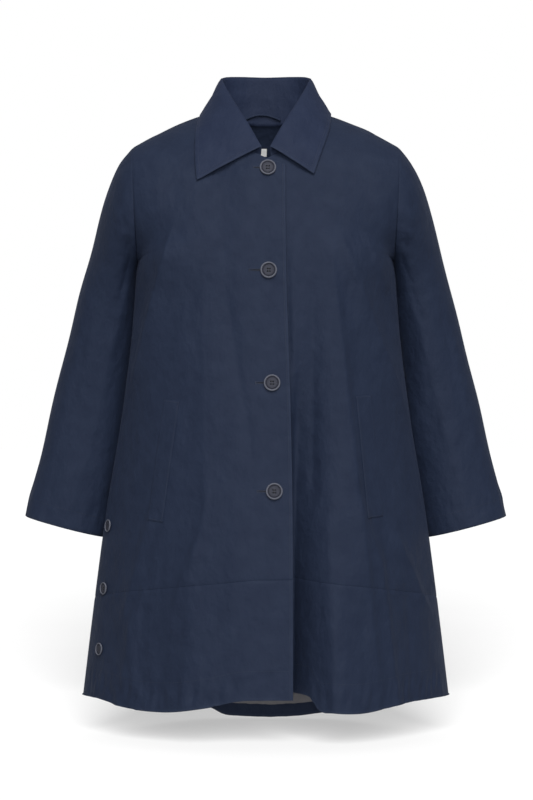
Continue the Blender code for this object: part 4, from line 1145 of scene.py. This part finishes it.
def tone_group():
    """Colour and roughness of washed cloth: cloudy, slubbed along its threads and paled at edges, partly by
    wear and partly by a painted highlight.
    """
    tree, given, result = new_group(
        "washed_cloth",
        {"Place": "Vector", "Threads": "Vector", "Deep": "Color", "Pale": "Color", "Worn_And_Lit": "Color",
         "Edge": "Float", "Roughness": "Float"},
        {"Colour": "Color", "Roughness": "Float", "Crumple": "Float"})
    clouds = calculate(tree, "MULTIPLY", noise(tree, given["Place"], *CLOUDS), CLOUD_CONTRAST[0])
    clouds = calculate(tree, "SUBTRACT", clouds, CLOUD_CONTRAST[1])
    slubs = calculate(tree, "MULTIPLY", noise(tree, given["Threads"], *SLUBS), SLUB_SHARE)
    share = calculate(tree, "MULTIPLY_ADD", clouds, CLOUD_SHARE, slubs)
    colour = blend_colours(tree, share, given["Deep"], given["Pale"])
    # the paled edges, part wear and part painted highlight, broken up by noise
    wear_and_highlight = calculate(tree, "MULTIPLY", noise(tree, given["Place"], *WEAR_AND_HIGHLIGHT_NOISE), WEAR_AND_HIGHLIGHT_SHARE)
    edge = calculate(tree, "MULTIPLY", given["Edge"], wear_and_highlight)
    feed(tree, result, {
        "Colour": blend_colours(tree, edge, colour, given["Worn_And_Lit"]),
        "Roughness": calculate(tree, "MULTIPLY_ADD", clouds, CLOUD_ROUGHNESS, given["Roughness"]),
        "Crumple": noise(tree, given["Place"], *CRUMPLES),
    })
    return tree


def new_material(name):
    """A material, with its nodes, its shader and the place on the object."""
    material = bpy.data.materials.new(name)
    material.use_nodes = True
    tree = material.node_tree
    return material, tree, tree.nodes["Principled BSDF"], add_node(tree, "TexCoord", {}).outputs["Object"]


def wear_and_highlight_share(tree):
    """How far a point is paled by wear and painted highlight."""
    return add_node(tree, "Attribute", {}, attribute_name="wear_and_highlight").outputs["Fac"]


def cloth_material(groups, name, deep, pale, worn_and_lit, roughness, threads, sheen, sheen_tint, crumple):
    """A woven cloth from its tones, its sheen and the closeness of its threads."""
    material, tree, shader, place = new_material(name)
    laid = add_node(tree, "UVMap", {}, uv_map="threads").outputs[0]
    values = {"Place": place, "Threads": laid, "Deep": deep, "Pale": pale, "Worn_And_Lit": worn_and_lit,
              "Edge": wear_and_highlight_share(tree), "Roughness": roughness}
    weave, tone = (add_node(tree, "Group", {}, node_tree=group) for group in groups)
    feed(tree, tone, values)
    feed(tree, weave, {"Place": laid, "Threads": threads})
    soft = calculate(tree, "MULTIPLY", tone.outputs["Crumple"], CRUMPLE_HEIGHT * crumple)
    bump(tree, shader, calculate(tree, "MULTIPLY_ADD", weave.outputs["Height"], WEAVE_HEIGHT, soft))
    feed(tree, shader, {
        "Base Color": tone.outputs["Colour"], "Roughness": tone.outputs["Roughness"], "Sheen Weight": sheen,
        "Sheen Roughness": SHEEN_ROUGHNESS, "Sheen Tint": sheen_tint, "Specular IOR Level": CLOTH_SHINE,
    })
    return material


def button_material():
    """Dark moulded buttons, faintly clouded, with a soft polish and a painted highlight on the rim and the
    middle.
    """
    material, tree, shader, place = new_material("dark_moulded_button")
    colour = blend_colours(tree, noise(tree, place, *BUTTON_CLOUDS), BUTTON_DEEP, BUTTON_PALE)
    scratches = noise(tree, place, *SCRATCHES)
    bump(tree, shader, scratches, *SCRATCH_BUMP)
    feed(tree, shader, {
        # the painted highlight on the rim and the middle
        "Base Color": blend_colours(tree, wear_and_highlight_share(tree), colour, PAINTED_RIM_HIGHLIGHT),
        "Roughness": calculate(tree, "MULTIPLY_ADD", scratches, BUTTON_ROUGHNESS[1], BUTTON_ROUGHNESS[0]),
        "Specular IOR Level": BUTTON_SHINE,
    })
    return material


def thread_material(name, deep, pale):
    """Twisted sewing thread."""
    material, tree, shader, place = new_material(name)
    twist = noise(tree, place, *TWIST)
    rough = calculate(tree, "MULTIPLY_ADD", twist, THREAD_ROUGHNESS[1], THREAD_ROUGHNESS[0])
    feed(tree, shader, {"Base Color": blend_colours(tree, twist, deep, pale), "Roughness": rough})
    return material


def floor_material():
    """A plain pale floor with the faintest cloudiness."""
    material, tree, shader, place = new_material("pale_floor")
    shown = add_node(tree, "LightPath", {}).outputs["Is Camera Ray"]
    feed(tree, shader, {
        "Base Color": blend_colours(tree, noise(tree, place, *FLOOR_CLOUDS), FLOOR_DEEP, FLOOR_PALE),
        "Roughness": FLOOR_ROUGHNESS, "Emission Color": WHITE,
        "Emission Strength": calculate(tree, "MULTIPLY", shown, FLOOR_GLOW),
    })
    return material


def make_body(levels, materials):
    """Fronts, back and sleeves. Returns their outer grids for what lies on them."""
    seam_row = int(np.argmin(np.abs(levels - SEAM_LEVEL)))
    panels = {panel: draped_panel(panel, levels, seam_row) for panel in PANEL_SEEDS}
    sleeves = {side: draped_sleeve(side) for side in SLEEVE_SEEDS}
    cloth = (WALL, materials["navy"], "navy_cloth")
    for panel, name, right, left in (("right", "front_right", 1, 0), ("left", "front_left", 0, 1),
                                     ("back", "back", 0, 0)):
        lower, upper = panels[panel][:seam_row + 1], panels[panel][seam_row:]
        sheet(name + "_lower", "_cloth", lower, *cloth, (1, right, 0, left), "hung", name + "_upper")
        sheet(name + "_upper", "_cloth", upper, *cloth, (0, right, 0, left), "hung", "collar")
    for side, grid in sleeves.items():
        sheet("sleeve_" + side, "_cloth", grid, *cloth, (0, 0, 1, 0), "hung", "front_%s_upper" % side, True)
    return panels, sleeves


def make_collar(tree, materials):
    """The turned-down collar and the stitching round its leaf."""
    grid = collar_grid(tree)
    sheet("collar", "_cloth", grid, COLLAR_WALL, materials["collar"], "navy_collar", (1, 1, 0, 1), "folded",
          "back_upper")
    leaf = grid[:COLLAR_STITCH_ROWS]
    up, over = lengths_along(leaf, 0), lengths_along(leaf, 1)
    row = int(np.argmin(np.abs(up[:, 0] - COLLAR_STITCH)))
    inner = (over[row] > COLLAR_STITCH) & (over[row] < over[row, -1] - COLLAR_STITCH)
    points, outs = line_across(leaf, COLLAR_STITCH, 0)
    lines = [(points[inner], outs[inner])]
    for far in (False, True):
        points, outs = line_across(leaf, COLLAR_STITCH, 1, far)
        lines.append((points[row:], outs[row:]))
    stitching("collar_stitching", lines, materials["collar_thread"])
    return grid


def make_sewing(levels, panels, sleeves, materials):
    """Stitching along the front edge, the hems and the cuffs."""
    corner = int(np.argmin(np.abs(levels - CORNER_LEVEL)))
    edge = line_across(panels["right"][:corner + 1], FRONT_EDGE_STITCH, 1, True)
    stitching("front_edge_stitching", [edge], materials["thread"])
    hems = []
    for panel in ("right", "left", "back"):
        points, outs = line_across(panels[panel], HEM_DEPTH, 0)
        hems.append((points[HEM_ENDS], outs[HEM_ENDS]))
    stitching("hem_stitching", hems, materials["hem_thread"], HEM_STITCH_RADIUS)
    for side, grid in sleeves.items():
        points, outs = line_across(grid, CUFF_DEPTH, 0, True)
        ring = np.concatenate((points, points[:1])), np.concatenate((outs, outs[:1]))
        stitching("cuff_stitching_" + side, [ring], materials["hem_thread"], HEM_STITCH_RADIUS)


def make_welts(trees, materials):
    """The slanted strips that finish the pockets, with their stitching."""
    for side, ends in WELTS.items():
        top, bottom = np.array(ends, dtype=float)
        along = unit(top - bottom)
        across = np.array((along[1], -along[0])) * WELT_WIDTH / 2
        grid = []
        for up in np.linspace(0.0, 1.0, WELT_CELLS[0] + 1):
            for right in np.linspace(-1.0, 1.0, WELT_CELLS[1] + 1):
                point, normal = looked_at(trees[side], *(bottom + up * (top - bottom) + right * across))
                grid.append(point + normal * (WELT_LIFT + WELT_WALL))
        grid = np.array(grid).reshape(WELT_CELLS[0] + 1, WELT_CELLS[1] + 1, 3)
        grid = clear_of_coat(trees[side], grid, WELT_WALL, WELT_LIFT)
        node = "pocket_welt_" + side
        sheet(node, "_cloth", grid, WELT_WALL, materials["welt"], "navy_cloth", (1, 1, 1, 1), "laid",
              "front_%s_upper" % side)
        lines = [line_across(grid, WELT_STITCH, 1, side == "right")]
        lines += [line_across(grid, WELT_STITCH, 0, far) for far in (False, True)]
        stitching(node + "_stitching", lines, materials["thread"])


def make_buttons(tree, materials):
    """Four buttons with their buttonholes down the front and three beside the side seam."""
    mesh = button_mesh("front_button_turned", FRONT_BUTTON_RADIUS)
    for number, (z, reach) in enumerate(FRONT_BUTTONS, start=1):
        x = button_line_x(z)
        sew_button("front_button_%d" % number, mesh, tree, x, z, FRONT_BUTTON_RADIUS, materials)
        buttonhole("buttonhole_%d" % number, tree, x, z, reach, materials)
    mesh = button_mesh("side_button_turned", SIDE_BUTTON_RADIUS)
    for number, (x, z) in enumerate(SIDE_BUTTONS, start=1):
        sew_button("side_button_%d" % number, mesh, tree, x, z, SIDE_BUTTON_RADIUS, materials)


def make_lining(levels, back, materials):
    """The pale lining inside the back, which shows above the hem facing."""
    rows = (levels >= LINING_LEVELS[0]) & (levels <= LINING_LEVELS[1])
    inset = back - grid_normals(back) * (WALL + TRIM_LIFT)
    grid = inset[rows, LINING_SIDE_COLUMNS:-LINING_SIDE_COLUMNS]
    sheet("back_lining", "_cloth", grid, LINING_WALL, materials["lining"], "pale_lining", (1, 1, 1, 1),
          "hung", "back_lower")


def make_label(tree, materials):
    """A blank label sewn inside the back."""
    spots = [looked_at(tree, x, z, 0.0) for z in np.linspace(*LABEL_Z, LABEL_POINTS)
             for x in np.linspace(*LABEL_X, LABEL_POINTS)]
    grid = np.array([point - normal * (WALL + TRIM_LIFT) for point, normal in spots])
    sheet("neck_label", "_tape", grid.reshape(LABEL_POINTS, LABEL_POINTS, 3), LABEL_WALL, materials["label"],
          "white_label", (1, 1, 1, 1), "laid", "back_upper")


def make_loop(collar, materials):
    """The hanger loop, a rolled strip whose ends are caught at the back neck."""
    tree = surface_tree(collar)
    rises = LOOP_LOW_Z + LOOP_RISE * np.sin(np.linspace(0.0, math.pi, LOOP_POINTS))
    spots = [looked_at(tree, x, z, 0.0) for x, z in zip(np.linspace(*LOOP_ENDS_X, LOOP_POINTS), rises)]
    path = np.array([point + normal * (LOOP_RADIUS + TRIM_LIFT) for point, normal in spots])
    outs = unit(np.array([normal for _, normal in spots]))
    along = unit(np.gradient(path, axis=0))
    side = unit(np.cross(along, outs))
    outs = np.cross(side, along)
    angles = np.linspace(0.0, math.tau, LOOP_SIDES, endpoint=False)[None, :, None]
    ring = np.cos(angles) * side[:, None] + np.sin(angles) * outs[:, None]
    points = np.vstack(((path[:, None] + LOOP_RADIUS * ring).reshape(-1, 3), path[:1], path[-1:]))
    index = np.arange(LOOP_POINTS * LOOP_SIDES).reshape(LOOP_POINTS, LOOP_SIDES)
    after = np.roll(index, -1, axis=1)
    faces = [np.stack((index[:-1], after[:-1], after[1:], index[1:]), axis=-1).reshape(-1, 4)]
    for end, centre in ((index[0][::-1], index.size), (index[-1], index.size + 1)):
        half = np.stack((end[::2], np.roll(end, -1)[::2], np.roll(end, -2)[::2]), axis=-1)
        faces.append(np.column_stack((half, np.full(len(half), centre))))
    loop = mesh_object("hanger_loop_strip", points, np.concatenate(faces), materials["loop"])
    give_cloth_places(loop.data, points[:, (0, 2)])
    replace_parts(loop, "hanger_loop")


def make_stage():
    """Floor, soft light and camera."""
    scene = bpy.context.scene
    scene.view_settings.view_transform = "Standard"
    mesh = bpy.data.meshes.new("floor")
    corners = [(x * FLOOR_HALF, y * FLOOR_HALF, FLOOR_Z) for x, y in ((-1, -1), (1, -1), (1, 1), (-1, 1))]
    mesh.from_pydata(corners, [], [(0, 1, 2, 3)])
    mesh.materials.append(floor_material())
    floor = bpy.data.objects.new("floor", mesh)
    scene.collection.objects.link(floor)
    floor.visible_diffuse = False
    world = bpy.data.worlds.new("studio")
    world.use_nodes = True
    tree = world.node_tree
    shown = add_node(tree, "LightPath", {}).outputs["Is Camera Ray"]
    strength = calculate(tree, "MAXIMUM", shown, AMBIENT)
    feed(tree, tree.nodes["Background"], {"Color": WHITE, "Strength": strength})
    scene.world = world
    for name, lit, shines_from, energy, spread in SOFT_LIGHTS:
        sun = bpy.data.lights.new(name, "SUN")
        sun.energy = energy
        sun.angle = math.radians(spread)
        lamp = bpy.data.objects.new(name, sun)
        lamp.rotation_euler = (-Vector(shines_from)).to_track_quat("-Z", "Y").to_euler()
        scene.collection.objects.link(lamp)
        reached = bpy.data.collections.new(name + "_reach")
        reached.objects.link(floor)
        lamp.light_linking.receiver_collection = reached
        if lit == "coat":
            reached.collection_objects[0].light_linking.link_state = "EXCLUDE"
    lens = bpy.data.cameras.new("camera")
    lens.lens = CAMERA_LENS
    lens.sensor_width = CAMERA_SENSOR
    camera = bpy.data.objects.new("camera", lens)
    camera.location = CAMERA_PLACE
    camera.rotation_euler = (math.radians(90.0), 0.0, 0.0)
    scene.collection.objects.link(camera)
    scene.camera = camera


def make_coat():
    """The whole coat."""
    groups = (weave_group(), tone_group())
    materials = {key: cloth_material(groups, *cloth) for key, cloth in CLOTHS.items()}
    materials.update({key: thread_material(*yarn) for key, yarn in YARNS.items()})
    materials["button"] = button_material()
    levels = panel_levels()
    panels, sleeves = make_body(levels, materials)
    trees = {panel: surface_tree(grid) for panel, grid in panels.items()}
    collar = make_collar(surface_tree(panels["right"], panels["left"], panels["back"]), materials)
    make_sewing(levels, panels, sleeves, materials)
    make_welts(trees, materials)
    make_buttons(trees["right"], materials)
    make_lining(levels, panels["back"], materials)
    make_label(trees["back"], materials)
    make_loop(collar, materials)


make_stage()
make_coat()
bpy.context.view_layer.update()
